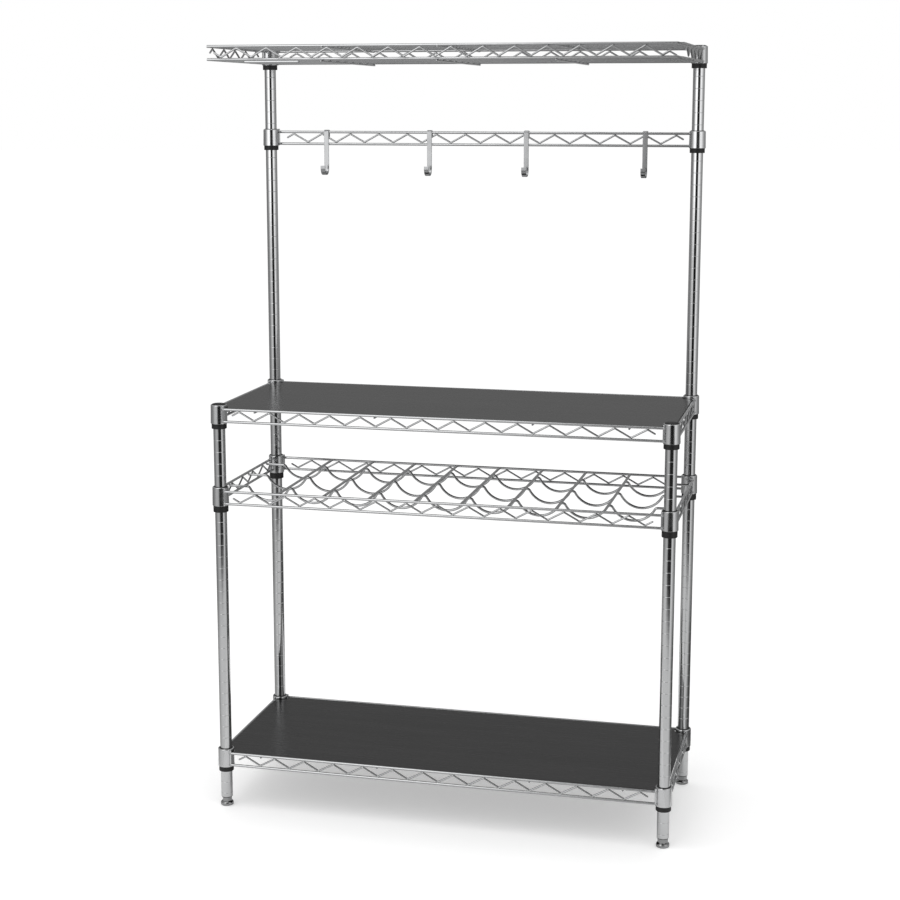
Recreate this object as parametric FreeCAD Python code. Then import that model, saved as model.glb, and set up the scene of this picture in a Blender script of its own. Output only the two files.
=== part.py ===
import FreeCAD, Part
import math
import os

# Bakers rack: a chromed wire rack on four grooved tube posts.
# Millimetres. X runs to the right, Y to the back and Z up.
# The origin is on the floor, midway between the four posts.

# Posts: one-inch tube with a ring groove at every inch.
POST_SPACING_X = 960.0
POST_SPACING_Y = 362.0
POST_RADIUS = 12.7
POST_BORE_RADIUS = 11.5
POST_BOTTOM_Z = 20.0
GROOVE_PITCH = 25.4
FIRST_GROOVE_Z = 29.3
GROOVE_DEPTH = 0.5
GROOVE_WIDTH = 1.6

# Heights of the centre line of the upper rails.
BOTTOM_SHELF_Z = 122.5
WINE_RACK_Z = BOTTOM_SHELF_Z + 23 * GROOVE_PITCH
COUNTER_Z = WINE_RACK_Z + 7 * GROOVE_PITCH
TOP_SHELF_Z = 1636.1
HOOK_RAIL_Z = TOP_SHELF_Z - 7 * GROOVE_PITCH

# Rails: two round wires, one above the other, outside the post line.
RAIL_RADIUS = 2.8
RAIL_GAP_Z = 26.3
SIDE_RAIL_OUTSET = 8.8
LONG_RAIL_OUTSET = 12.8
RAIL_X = POST_SPACING_X / 2 + SIDE_RAIL_OUTSET
RAIL_Y = POST_SPACING_Y / 2 + LONG_RAIL_OUTSET

# Corner sleeves: tapered collars that wedge on the clips.
SLEEVE_TOP_RADIUS = 17.3
SLEEVE_BOTTOM_RADIUS = 17.9
SLEEVE_BORE_TOP_RADIUS = 14.9
SLEEVE_BORE_BOTTOM_RADIUS = 15.6
SLEEVE_ROUNDING = 1.6
SLEEVE_CHAMFER = 0.5

# Sleeve ends and clip skirts, measured from the centre line of the upper rail.
SHELF_SLEEVE_RISE = 8.5
SHELF_SLEEVE_DROP = 32.0
REAR_SLEEVE_RISE = 6.0
REAR_SLEEVE_DROP = 30.5
SHELF_CLIP_DROP = 43.0
WINE_CLIP_DROP = 46.0
REAR_CLIP_DROP = 40.5

# Weld bars: upright wires on the sleeves that the rails butt against.
WELD_BAR_RADIUS = 2.2
WELD_BAR_ABOVE = 4.5
WELD_BAR_BELOW = 1.0
# Distance from the middle of a post to the middle of each weld bar beside it.
WELD_BAR_REACH = 19.4
# Distance from the middle of a weld bar to the square end of a rail.
RAIL_END_SETBACK = 1.2

# Split clips: two plastic halves round the post inside each sleeve.
CLIP_BORE_RADIUS = 12.75
CLIP_SKIRT_RADIUS = 16.1
CLIP_RIB_RADIUS = 12.35
CLIP_RIB_WIDTH = 1.0
CLIP_CHAMFER = 0.6
CLIP_LIP = 0.9
CLIP_SPLIT = 1.0
CLIP_GAP = 0.05

# Zigzag wires between the upper and lower rails.
ZIGZAG_RADIUS = 2.0
ZIGZAG_BEND = 4.0
FRONT_PITCH = 66.4
TOP_PITCH = 64.3
SIDE_PITCH = 66.0
FRONT_BENDS = 14
TOP_FRONT_BENDS = 15
SIDE_BENDS = 5
TAIL_LENGTH = 16.5
SHELF_ZIGZAG_X = -430.0
SHELF_ZIGZAG_Y = -132.0
WINE_ZIGZAG_X = -431.4
WINE_ZIGZAG_Y = -120.0
TOP_ZIGZAG_X = -453.2
TOP_ZIGZAG_Y = -150.0

# Wine rack: straight crest bars over three wavy cup wires.
CUP_PITCH = 99.2
CUP_COUNT = 9
CUP_WIRE_RADIUS = 2.6
CUP_ARC_RADIUS = 49.9
CREST_ARC_RADIUS = 7.0
CUP_WIRE_FRONT_Y = -107.0
CUP_WIRE_MIDDLE_Y = 14.0
CUP_WIRE_REAR_Y = 135.0

# Boards and the wires that carry them.
BOARD_THICKNESS = 5.0
BOARD_SIDE_GAP = 1.3
BOARD_NOTCH_RADIUS = 19.6
BOARD_EDGE_ROUNDING = 0.8
SUPPORT_WIRE_RADIUS = 2.0
SUPPORT_WIRE_X = (-396.0, -134.0, 199.0, 396.0)
# How far support and cup wires run past the rails they lie under.
WIRE_OVERHANG = 1.0

# Top shelf: lengthwise deck wires on bearers, with a second layer of wires below them.
FRAME_CORNER_RADIUS = 13.0
DECK_WIRE_RADIUS = 1.5
DECK_WIRE_PITCH = 26.5
DECK_WIRE_COUNT = 13
BEARER_RADIUS = 2.1
CROSS_SUPPORT_RADIUS = 2.1
CROSS_SUPPORT_X = (-240.0, 0.0, 240.0)
STRINGER_RADIUS = 1.6
STRINGER_PITCH = 54.0
STRINGER_COUNT = 6
SPLICE_START_X = -405.0
SPLICE_END_X = -286.0

# Sliding hooks on the hook rail.
HOOK_X = (-352.0, -113.0, 106.0, 367.0)
HOOK_WIDTH = 11.0
HOOK_THICKNESS = 2.0
HOOK_CLEARANCE = 0.3
HOOK_REAR_LEG = 11.0
HOOK_DROP = 80.0
HOOK_BEND_RADIUS = 14.0
HOOK_TIP_RISE = 6.0

# Levelling feet and the inserts they screw into.
FOOT_RADIUS = 14.2
FOOT_CHAMFER = 1.3
FOOT_RIM_Z = 5.0
FOOT_DOME_WIDTH = 6.0
FOOT_HEIGHT = 9.5
FOOT_NUT_FLATS = 19.0
FOOT_NUT_TOP_Z = 18.5
FOOT_NUT_SINK = 2.0
FOOT_STEM_RADIUS = 5.0
FOOT_STEM_TOP_Z = 62.0
FOOT_STEM_CHAMFER = 1.0
INSERT_BORE_RADIUS = 5.05
INSERT_RADIUS = 11.5
INSERT_FLANGE_RADIUS = 12.4
INSERT_CHAMFER = 0.7
INSERT_TOP_Z = 48.0

# Post caps. A post ends a little below the top of its uppermost sleeve.
POST_BELOW_SLEEVE = 0.8
CAP_HEIGHT = 2.6
CAP_ROUNDING = 1.2
CAP_PLUG_DEPTH = 12.0

# Depth to which welded wires sink into each other.
WELD = 0.2
# Gap left where one loose piece rests on another.
REST_GAP = 0.03
# Height difference below which an edge counts as level.
LEVEL_TOLERANCE = 0.01


def vec(x, y, z):
    """Return a FreeCAD vector."""
    return FreeCAD.Vector(x, y, z)


def save(name, solids):
    """Write one node as a STEP file; a list becomes a group of solids."""
    shape = solids[0] if len(solids) == 1 else Part.makeCompound(solids)
    shape.exportStep("parts/" + name + ".step")


def revolve(points, x, y):
    """Turn a closed (radius, height) outline about the upright line at x, y."""
    corners = [vec(r, 0, z) for r, z in points]
    corners.append(corners[0])
    face = Part.Face(Part.makePolygon(corners))
    solid = face.revolve(vec(0, 0, 0), vec(0, 0, 1), 360)
    solid.translate(vec(x, y, 0))
    return solid


def soft_edge(radius, z, rounding):
    """Return the points of a rounded top edge, from its outer side to its top."""
    share = 1 - math.sqrt(0.5)
    return [(radius, z - rounding), (radius - share * rounding, z - share * rounding), (radius - rounding, z)]


def rod(start, end, radius):
    """Return a straight round wire between two points."""
    along = end.sub(start)
    return Part.makeCylinder(radius, along.Length, start, along)


def fillet_corner(before, corner, after, radius):
    """Return the arc that rounds a corner, with its two tangent points."""
    to_before = before.sub(corner).normalize()
    to_after = after.sub(corner).normalize()
    half_angle = to_before.getAngle(to_after) / 2
    setback = radius / math.tan(half_angle)
    first = corner.add(to_before.multiply(setback))
    last = corner.add(to_after.multiply(setback))
    chord_middle = first.add(last).multiply(0.5)
    inward = chord_middle.sub(corner).normalize()
    centre = corner.add(vec(*inward).multiply(radius / math.sin(half_angle)))
    middle = centre.sub(inward.multiply(radius))
    return first, last, Part.Arc(first, middle, last).toShape()


def bent_wire(points, radius, bend_radius):
    """Sweep a round wire along a line whose corners are rounded."""
    edges = []
    start = points[0]
    for index in range(1, len(points) - 1):
        first, last, arc = fillet_corner(points[index - 1], points[index], points[index + 1], bend_radius)
        edges.append(Part.makeLine(start, first))
        edges.append(arc)
        start = last
    edges.append(Part.makeLine(start, points[-1]))
    return sweep(edges, radius)


def sweep(edges, radius):
    """Sweep a circle along a chain of edges and return the solid."""
    path = Part.Wire(edges)
    start = path.Edges[0]
    circle = Part.makeCircle(radius, start.Vertexes[0].Point, start.tangentAt(start.FirstParameter))
    return path.makePipeShell([Part.Wire(circle)], True, False)


def post_profile(bottom, top):
    """Return the half outline of a tube with ring grooves."""
    half = GROOVE_WIDTH / 2
    points = [(POST_BORE_RADIUS, bottom), (POST_RADIUS, bottom)]
    groove = FIRST_GROOVE_Z
    while groove < top - half:
        points.append((POST_RADIUS, groove - half))
        points.append((POST_RADIUS - GROOVE_DEPTH, groove - half / 2))
        points.append((POST_RADIUS - GROOVE_DEPTH, groove + half / 2))
        points.append((POST_RADIUS, groove + half))
        groove += GROOVE_PITCH
    points.append((POST_RADIUS, top))
    points.append((POST_BORE_RADIUS, top))
    return points


def post_cap(x, y, top):
    """Return a cap whose plug fills the top of a post."""
    points = [(0, top - CAP_PLUG_DEPTH), (POST_BORE_RADIUS, top - CAP_PLUG_DEPTH)]
    points.append((POST_BORE_RADIUS, top))
    points.append((POST_RADIUS, top))
    points.extend(soft_edge(POST_RADIUS, top + CAP_HEIGHT, CAP_ROUNDING))
    points.append((0, top + CAP_HEIGHT))
    return revolve(points, x, y)


def sleeve_bore(share):
    """Radius of the tapered bore; share runs from 0 at the bottom to 1 at the top."""
    return SLEEVE_BORE_BOTTOM_RADIUS + share * (SLEEVE_BORE_TOP_RADIUS - SLEEVE_BORE_BOTTOM_RADIUS)


def corner_positions():
    """Return the four post centres as (x sign, y sign, x, y)."""
    corners = []
    for sign_x in (-1, 1):
        for sign_y in (-1, 1):
            corners.append((sign_x, sign_y, sign_x * POST_SPACING_X / 2, sign_y * POST_SPACING_Y / 2))
    return corners


def post_centres():
    """Return the four post centres as (x, y)."""
    return [(x, y) for _, _, x, y in corner_positions()]


def bar_setback(rail_outset):
    """Return the distance along a rail from the middle of a post to the middle of its weld bar."""
    return math.sqrt(WELD_BAR_REACH ** 2 - rail_outset ** 2)


def weld_bar(x, y, rail_z):
    """Return an upright wire with a domed top that a pair of rails butts against."""
    low = rail_z - RAIL_GAP_Z - RAIL_RADIUS - WELD_BAR_BELOW
    high = rail_z + RAIL_RADIUS + WELD_BAR_ABOVE - WELD_BAR_RADIUS
    stem = rod(vec(x, y, low), vec(x, y, high), WELD_BAR_RADIUS)
    return stem.fuse(Part.makeSphere(WELD_BAR_RADIUS, vec(x, y, high)))


def sleeve(x, y, rail_z, rise, drop, bar_offsets):
    """Return a corner sleeve with its upright weld bars."""
    top = rail_z + rise
    bottom = rail_z - drop
    points = [(sleeve_bore(0), bottom), (SLEEVE_BOTTOM_RADIUS - SLEEVE_CHAMFER, bottom)]
    points.append((SLEEVE_BOTTOM_RADIUS, bottom + SLEEVE_CHAMFER))
    points.extend(soft_edge(SLEEVE_TOP_RADIUS, top, SLEEVE_ROUNDING))
    points.append((sleeve_bore(1), top))
    body = revolve(points, x, y)
    for offset_x, offset_y in bar_offsets:
        body = body.fuse(weld_bar(x + offset_x, y + offset_y, rail_z))
    return body.removeSplitter()


def shelf_sleeves(rail_z):
    """Return the four sleeves of a shelf with rails on all sides."""
    sleeves = []
    for sign_x, sign_y, x, y in corner_positions():
        bars = [(-sign_x * bar_setback(LONG_RAIL_OUTSET), sign_y * LONG_RAIL_OUTSET)]
        bars.append((sign_x * SIDE_RAIL_OUTSET, -sign_y * bar_setback(SIDE_RAIL_OUTSET)))
        sleeves.append(sleeve(x, y, rail_z, SHELF_SLEEVE_RISE, SHELF_SLEEVE_DROP, bars))
    return sleeves


def rear_sleeves(rail_z, with_side_rails):
    """Return the two sleeves that grip the rear posts alone."""
    sleeves = []
    for sign_x, sign_y, x, y in corner_positions():
        if sign_y < 0:
            continue
        bars = [(-sign_x * bar_setback(LONG_RAIL_OUTSET), LONG_RAIL_OUTSET)]
        if with_side_rails:
            bars.append((sign_x * SIDE_RAIL_OUTSET, -bar_setback(SIDE_RAIL_OUTSET)))
        sleeves.append(sleeve(x, y, rail_z, REAR_SLEEVE_RISE, REAR_SLEEVE_DROP, bars))
    return sleeves


def clip_halves(x, y, rail_z, rise, drop, clip_drop):
    """Return the two halves of a split clip round one post."""
    top = rail_z + rise
    bottom = rail_z - drop
    skirt = rail_z - clip_drop
    rib = FIRST_GROOVE_Z + GROOVE_PITCH * round(((top + bottom) / 2 - FIRST_GROOVE_Z) / GROOVE_PITCH)
    points = [(CLIP_BORE_RADIUS, skirt), (CLIP_SKIRT_RADIUS - CLIP_CHAMFER, skirt)]
    points.append((CLIP_SKIRT_RADIUS, skirt + CLIP_CHAMFER))
    points.append((CLIP_SKIRT_RADIUS, bottom - CLIP_GAP))
    points.append((sleeve_bore(0) - CLIP_GAP, bottom - CLIP_GAP))
    points.append((sleeve_bore(1) - CLIP_GAP, top))
    points.append((sleeve_bore(1) - CLIP_GAP, top + CLIP_LIP))
    points.append((CLIP_BORE_RADIUS, top + CLIP_LIP))
    points.append((CLIP_BORE_RADIUS, rib + CLIP_RIB_WIDTH / 2))
    points.append((CLIP_RIB_RADIUS, rib + CLIP_RIB_WIDTH / 4))
    points.append((CLIP_RIB_RADIUS, rib - CLIP_RIB_WIDTH / 4))
    points.append((CLIP_BORE_RADIUS, rib - CLIP_RIB_WIDTH / 2))
    ring = revolve(points, x, y)
    width = 2 * CLIP_SKIRT_RADIUS + CLIP_SPLIT
    height = top - skirt + 3 * CLIP_LIP
    halves = []
    for corner_y in (y - CLIP_SPLIT / 2 - width, y + CLIP_SPLIT / 2):
        block = Part.makeBox(width, width, height, vec(x - width / 2, corner_y, skirt - CLIP_LIP))
        halves.append(ring.common(block))
    return halves


def shelf_clips(rail_z, clip_drop):
    """Return the clip halves at all four posts."""
    halves = []
    for x, y in post_centres():
        halves.extend(clip_halves(x, y, rail_z, SHELF_SLEEVE_RISE, SHELF_SLEEVE_DROP, clip_drop))
    return halves


def rear_clips(rail_z):
    """Return the clip halves at the two rear posts."""
    halves = []
    for x, y in post_centres():
        if y > 0:
            halves.extend(clip_halves(x, y, rail_z, REAR_SLEEVE_RISE, REAR_SLEEVE_DROP, REAR_CLIP_DROP))
    return halves


def cope(wire, bars, z):
    """Cut the ends of a rail to the round of the weld bars at the given places."""
    for x, y in bars:
        core = Part.makeCylinder(WELD_BAR_RADIUS - WELD, 4 * RAIL_RADIUS, vec(x, y, z - 2 * RAIL_RADIUS))
        wire = wire.cut(core)
    return wire


def long_rail(y, z):
    """Return a rail along X between two weld bars."""
    bar_x = POST_SPACING_X / 2 - bar_setback(LONG_RAIL_OUTSET)
    reach = bar_x - RAIL_END_SETBACK
    rail = rod(vec(-reach, y, z), vec(reach, y, z), RAIL_RADIUS)
    return cope(rail, [(-bar_x, y), (bar_x, y)], z)


def side_rail(x, z):
    """Return a rail along Y between two weld bars."""
    bar_y = POST_SPACING_Y / 2 - bar_setback(SIDE_RAIL_OUTSET)
    reach = bar_y - RAIL_END_SETBACK
    rail = rod(vec(x, -reach, z), vec(x, reach, z), RAIL_RADIUS)
    return cope(rail, [(x, -bar_y), (x, bar_y)], z)


def ring_of_rails(z):
    """Return front, rear, left and right rails at one height."""
    return [long_rail(-RAIL_Y, z), long_rail(RAIL_Y, z), side_rail(-RAIL_X, z), side_rail(RAIL_X, z)]


def zigzag(fixed, along_x, first, pitch, bends, starts_high, rail_z):
    """Return one zigzag wire; bends counts the bends on the starting side."""
    high = rail_z - RAIL_RADIUS - ZIGZAG_RADIUS + WELD
    low = rail_z - RAIL_GAP_Z + RAIL_RADIUS + ZIGZAG_RADIUS - WELD
    middle = (high + low) / 2
    # The bend cuts each corner, so the corner stands past the rail by this much.
    slope = math.atan2(high - low, pitch / 2)
    past = ZIGZAG_BEND / math.cos(slope) - ZIGZAG_BEND
    near = high + past if starts_high else low - past
    far = low - past if starts_high else high + past
    stations = [(first - TAIL_LENGTH, middle)]
    for index in range(bends):
        stations.append((first + index * pitch, near))
        if index < bends - 1:
            stations.append((first + (index + 0.5) * pitch, far))
    stations.append((first + (bends - 1) * pitch + TAIL_LENGTH, middle))
    points = []
    for place, z in stations:
        points.append(vec(place, fixed, z) if along_x else vec(fixed, place, z))
    return bent_wire(points, ZIGZAG_RADIUS, ZIGZAG_BEND)


def shelf_zigzags(rail_z, first_x, first_y, starts_high):
    """Return the zigzag wires on the four sides of a shelf."""
    wires = []
    for y in (-RAIL_Y, RAIL_Y):
        wires.append(zigzag(y, True, first_x, FRONT_PITCH, FRONT_BENDS, starts_high, rail_z))
    for x in (-RAIL_X, RAIL_X):
        wires.append(zigzag(x, False, first_y, SIDE_PITCH, SIDE_BENDS, starts_high, rail_z))
    return wires


def support_wires(rail_z):
    """Return the front-to-back wires that carry a board."""
    z = rail_z - RAIL_RADIUS - SUPPORT_WIRE_RADIUS + WELD
    reach = RAIL_Y + WIRE_OVERHANG
    return [rod(vec(x, -reach, z), vec(x, reach, z), SUPPORT_WIRE_RADIUS) for x in SUPPORT_WIRE_X]


def board(rail_z):
    """Return a shelf board with its corners notched round the sleeves."""
    half_x = RAIL_X - RAIL_RADIUS - BOARD_SIDE_GAP
    half_y = RAIL_Y - RAIL_RADIUS - BOARD_SIDE_GAP
    base = rail_z - RAIL_RADIUS + WELD + REST_GAP
    panel = Part.makeBox(2 * half_x, 2 * half_y, BOARD_THICKNESS, vec(-half_x, -half_y, base))
    for x, y in post_centres():
        notch = Part.makeCylinder(BOARD_NOTCH_RADIUS, 3 * BOARD_THICKNESS, vec(x, y, base - BOARD_THICKNESS))
        panel = panel.cut(notch)
    top_edges = []
    for edge in panel.Edges:
        if edge.BoundBox.ZLength < LEVEL_TOLERANCE and edge.BoundBox.ZMin > base + BOARD_THICKNESS / 2:
            top_edges.append(edge)
    return panel.makeFillet(BOARD_EDGE_ROUNDING, top_edges)


def cup_wire(y):
    """Return a wavy wire whose troughs cradle bottles."""
    crest_z = WINE_RACK_Z - RAIL_RADIUS - CUP_WIRE_RADIUS + WELD
    crest_centre_z = crest_z - CREST_ARC_RADIUS
    span = CUP_ARC_RADIUS + CREST_ARC_RADIUS
    cup_centre_z = crest_centre_z + math.sqrt(span ** 2 - (CUP_PITCH / 2) ** 2)
    lean = math.atan2(CUP_PITCH / 2, cup_centre_z - crest_centre_z)
    join_x = CREST_ARC_RADIUS * math.sin(lean)
    join_z = crest_centre_z + CREST_ARC_RADIUS * math.cos(lean)
    half_lean = lean / 2
    shoulder_x = CREST_ARC_RADIUS * math.sin(half_lean)
    shoulder_z = crest_centre_z + CREST_ARC_RADIUS * math.cos(half_lean)
    outer_crest = CUP_PITCH * CUP_COUNT / 2
    tail = RAIL_X + WIRE_OVERHANG
    edges = [Part.makeLine(vec(-tail, y, crest_z), vec(-outer_crest, y, crest_z))]
    for index in range(CUP_COUNT):
        left = -outer_crest + index * CUP_PITCH
        right = left + CUP_PITCH
        middle = left + CUP_PITCH / 2
        left_join = vec(left + join_x, y, join_z)
        right_join = vec(right - join_x, y, join_z)
        left_shoulder = vec(left + shoulder_x, y, shoulder_z)
        right_shoulder = vec(right - shoulder_x, y, shoulder_z)
        trough = vec(middle, y, cup_centre_z - CUP_ARC_RADIUS)
        edges.append(Part.Arc(vec(left, y, crest_z), left_shoulder, left_join).toShape())
        edges.append(Part.Arc(left_join, trough, right_join).toShape())
        edges.append(Part.Arc(right_join, right_shoulder, vec(right, y, crest_z)).toShape())
    edges.append(Part.makeLine(vec(outer_crest, y, crest_z), vec(tail, y, crest_z)))
    return sweep(edges, CUP_WIRE_RADIUS)


def crest_bars():
    """Return the straight bars over the crests of the cup wires."""
    reach = RAIL_Y - RAIL_RADIUS + WELD
    bars = []
    for index in range(1, CUP_COUNT):
        x = (index - CUP_COUNT / 2) * CUP_PITCH
        bars.append(rod(vec(x, -reach, WINE_RACK_Z), vec(x, reach, WINE_RACK_Z), RAIL_RADIUS))
    return bars


def top_frame(z):
    """Return the wire bent round the front corners and the straight rear rail."""
    bar_y = POST_SPACING_Y / 2 - bar_setback(SIDE_RAIL_OUTSET)
    back = bar_y - RAIL_END_SETBACK
    corners = [vec(-RAIL_X, back, z), vec(-RAIL_X, -RAIL_Y, z), vec(RAIL_X, -RAIL_Y, z), vec(RAIL_X, back, z)]
    wire = bent_wire(corners, RAIL_RADIUS, FRAME_CORNER_RADIUS)
    return [cope(wire, [(-RAIL_X, bar_y), (RAIL_X, bar_y)], z), long_rail(RAIL_Y, z)]


def top_zigzags():
    """Return the zigzag wires of the top shelf; the rear one starts half a pitch later."""
    wires = [zigzag(-RAIL_Y, True, TOP_ZIGZAG_X, TOP_PITCH, TOP_FRONT_BENDS, False, TOP_SHELF_Z)]
    rear_start = TOP_ZIGZAG_X + TOP_PITCH / 2
    wires.append(zigzag(RAIL_Y, True, rear_start, TOP_PITCH, TOP_FRONT_BENDS - 1, True, TOP_SHELF_Z))
    for x in (-RAIL_X, RAIL_X):
        wires.append(zigzag(x, False, TOP_ZIGZAG_Y, SIDE_PITCH, SIDE_BENDS, True, TOP_SHELF_Z))
    return wires


def lengthwise_wires(count, pitch, radius, z):
    """Return evenly spaced wires along X between the side rails of the top shelf."""
    reach = RAIL_X - RAIL_RADIUS + WELD
    wires = []
    for index in range(count):
        y = (index - (count - 1) / 2) * pitch
        wires.append(rod(vec(-reach, y, z), vec(reach, y, z), radius))
    return wires


def deck_wires():
    """Return the deck wires, whose tops are level with the rails."""
    return lengthwise_wires(DECK_WIRE_COUNT, DECK_WIRE_PITCH, DECK_WIRE_RADIUS,
                            TOP_SHELF_Z + RAIL_RADIUS - DECK_WIRE_RADIUS)


def deck_bearers():
    """Return the front-to-back wires that carry the deck wires."""
    z = TOP_SHELF_Z + RAIL_RADIUS - 2 * DECK_WIRE_RADIUS - BEARER_RADIUS + WELD
    reach = RAIL_Y - RAIL_RADIUS + WELD
    return [rod(vec(x, -reach, z), vec(x, reach, z), BEARER_RADIUS) for x in CROSS_SUPPORT_X]


def cross_support_z():
    """Height of the cross supports, which hang under the lower frame wire."""
    return TOP_SHELF_Z - RAIL_GAP_Z - RAIL_RADIUS - CROSS_SUPPORT_RADIUS + WELD


def cross_supports():
    """Return the three front-to-back supports under the top shelf."""
    reach = RAIL_Y + RAIL_RADIUS
    z = cross_support_z()
    return [rod(vec(x, -reach, z), vec(x, reach, z), CROSS_SUPPORT_RADIUS) for x in CROSS_SUPPORT_X]


def stringers():
    """Return the lower layer of wires, which lie on the cross supports."""
    z = cross_support_z() + CROSS_SUPPORT_RADIUS + STRINGER_RADIUS - WELD
    return lengthwise_wires(STRINGER_COUNT, STRINGER_PITCH, STRINGER_RADIUS, z)


def splice_wire():
    """Return the short wire under the front of the lower frame wire."""
    z = TOP_SHELF_Z - RAIL_GAP_Z - 2 * RAIL_RADIUS + WELD
    return rod(vec(SPLICE_START_X, -RAIL_Y, z), vec(SPLICE_END_X, -RAIL_Y, z), RAIL_RADIUS)


def hook(x):
    """Return a flat strip bent over the hook rail and up into a J."""
    inner = RAIL_RADIUS + HOOK_CLEARANCE
    middle = inner + HOOK_THICKNESS / 2
    rail_z = HOOK_RAIL_Z
    strap_y = RAIL_Y - middle
    leg_y = RAIL_Y + middle
    bend_z = rail_z - HOOK_DROP
    nose_y = strap_y - 2 * HOOK_BEND_RADIUS
    edges = [Part.makeLine(vec(x, leg_y, rail_z - HOOK_REAR_LEG), vec(x, leg_y, rail_z))]
    crown = vec(x, RAIL_Y, rail_z + middle)
    edges.append(Part.Arc(vec(x, leg_y, rail_z), crown, vec(x, strap_y, rail_z)).toShape())
    edges.append(Part.makeLine(vec(x, strap_y, rail_z), vec(x, strap_y, bend_z)))
    base = vec(x, strap_y - HOOK_BEND_RADIUS, bend_z - HOOK_BEND_RADIUS)
    edges.append(Part.Arc(vec(x, strap_y, bend_z), base, vec(x, nose_y, bend_z)).toShape())
    edges.append(Part.makeLine(vec(x, nose_y, bend_z), vec(x, nose_y, bend_z + HOOK_TIP_RISE)))
    half_width = HOOK_WIDTH / 2
    half_thick = HOOK_THICKNESS / 2
    start_z = rail_z - HOOK_REAR_LEG
    left = x - half_width
    right = x + half_width
    corners = [vec(left, leg_y - half_thick, start_z), vec(right, leg_y - half_thick, start_z)]
    corners.append(vec(right, leg_y + half_thick, start_z))
    corners.append(vec(left, leg_y + half_thick, start_z))
    corners.append(corners[0])
    return Part.Wire(edges).makePipeShell([Part.makePolygon(corners)], True, False)


def foot(x, y):
    """Return a levelling foot: domed glide, hexagonal neck and stem."""
    points = [(0, 0), (FOOT_RADIUS - FOOT_CHAMFER, 0), (FOOT_RADIUS, FOOT_CHAMFER), (FOOT_RADIUS, FOOT_RIM_Z)]
    for degrees in (30, 60, 90):
        angle = math.radians(degrees)
        radius = FOOT_RADIUS - FOOT_DOME_WIDTH * (1 - math.cos(angle))
        points.append((radius, FOOT_RIM_Z + (FOOT_HEIGHT - FOOT_RIM_Z) * math.sin(angle)))
    points.append((0, FOOT_HEIGHT))
    glide = revolve(points, x, y)
    nut_base = FOOT_HEIGHT - FOOT_NUT_SINK
    corner_radius = FOOT_NUT_FLATS / math.sqrt(3)
    corners = []
    for index in range(7):
        angle = math.radians(60 * index)
        corners.append(vec(x + corner_radius * math.cos(angle), y + corner_radius * math.sin(angle), nut_base))
    neck = Part.Face(Part.makePolygon(corners)).extrude(vec(0, 0, FOOT_NUT_TOP_Z - nut_base))
    stem = rod(vec(x, y, FOOT_HEIGHT), vec(x, y, FOOT_STEM_TOP_Z), FOOT_STEM_RADIUS)
    tip_radius = FOOT_STEM_RADIUS - FOOT_STEM_CHAMFER
    tip = Part.makeCone(FOOT_STEM_RADIUS, tip_radius, FOOT_STEM_CHAMFER, vec(x, y, FOOT_STEM_TOP_Z))
    return glide.fuse([neck, stem, tip]).removeSplitter()


def foot_insert(x, y):
    """Return the threaded insert pressed into the lower end of a post."""
    base = FOOT_NUT_TOP_Z + REST_GAP
    points = [(INSERT_BORE_RADIUS, base), (INSERT_FLANGE_RADIUS - INSERT_CHAMFER, base)]
    points.append((INSERT_FLANGE_RADIUS, base + INSERT_CHAMFER))
    points.append((INSERT_FLANGE_RADIUS, POST_BOTTOM_Z))
    points.append((INSERT_RADIUS, POST_BOTTOM_Z))
    points.append((INSERT_RADIUS, INSERT_TOP_Z))
    points.append((INSERT_BORE_RADIUS, INSERT_TOP_Z))
    return revolve(points, x, y)


def save_posts():
    """Write the four posts with their caps, inserts and feet."""
    caps = []
    inserts = []
    names = {(-1, -1): "front_left", (1, -1): "front_right", (-1, 1): "rear_left", (1, 1): "rear_right"}
    for sign_x, sign_y, x, y in corner_positions():
        name = names[(sign_x, sign_y)]
        top = TOP_SHELF_Z + REAR_SLEEVE_RISE - POST_BELOW_SLEEVE
        if sign_y < 0:
            top = COUNTER_Z + SHELF_SLEEVE_RISE - POST_BELOW_SLEEVE
        save(name + "_post", [revolve(post_profile(POST_BOTTOM_Z, top), x, y)])
        save(name + "_foot", [foot(x, y)])
        caps.append(post_cap(x, y, top))
        inserts.append(foot_insert(x, y))
    save("post_caps", caps)
    save("foot_inserts", inserts)


def save_shelf(name, rail_z, clip_drop, first_x, first_y, starts_high):
    """Write the sleeves, clips, rails and zigzags of one four-post shelf."""
    save(name + "_clips", shelf_clips(rail_z, clip_drop))
    save(name + "_corner_sleeves", shelf_sleeves(rail_z))
    save(name + "_upper_rails", ring_of_rails(rail_z))
    save(name + "_lower_rails", ring_of_rails(rail_z - RAIL_GAP_Z))
    save(name + "_zigzag_wires", shelf_zigzags(rail_z, first_x, first_y, starts_high))


def save_top_shelf():
    """Write the cantilevered top shelf."""
    save("top_shelf_clips", rear_clips(TOP_SHELF_Z))
    save("top_shelf_sleeves", rear_sleeves(TOP_SHELF_Z, True))
    save("top_shelf_upper_frame", top_frame(TOP_SHELF_Z))
    save("top_shelf_lower_frame", top_frame(TOP_SHELF_Z - RAIL_GAP_Z))
    save("top_shelf_zigzag_wires", top_zigzags())
    save("top_shelf_deck_wires", deck_wires())
    save("top_shelf_deck_bearers", deck_bearers())
    save("top_shelf_cross_supports", cross_supports())
    save("top_shelf_stringers", stringers())
    save("top_shelf_splice", [splice_wire()])


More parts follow.
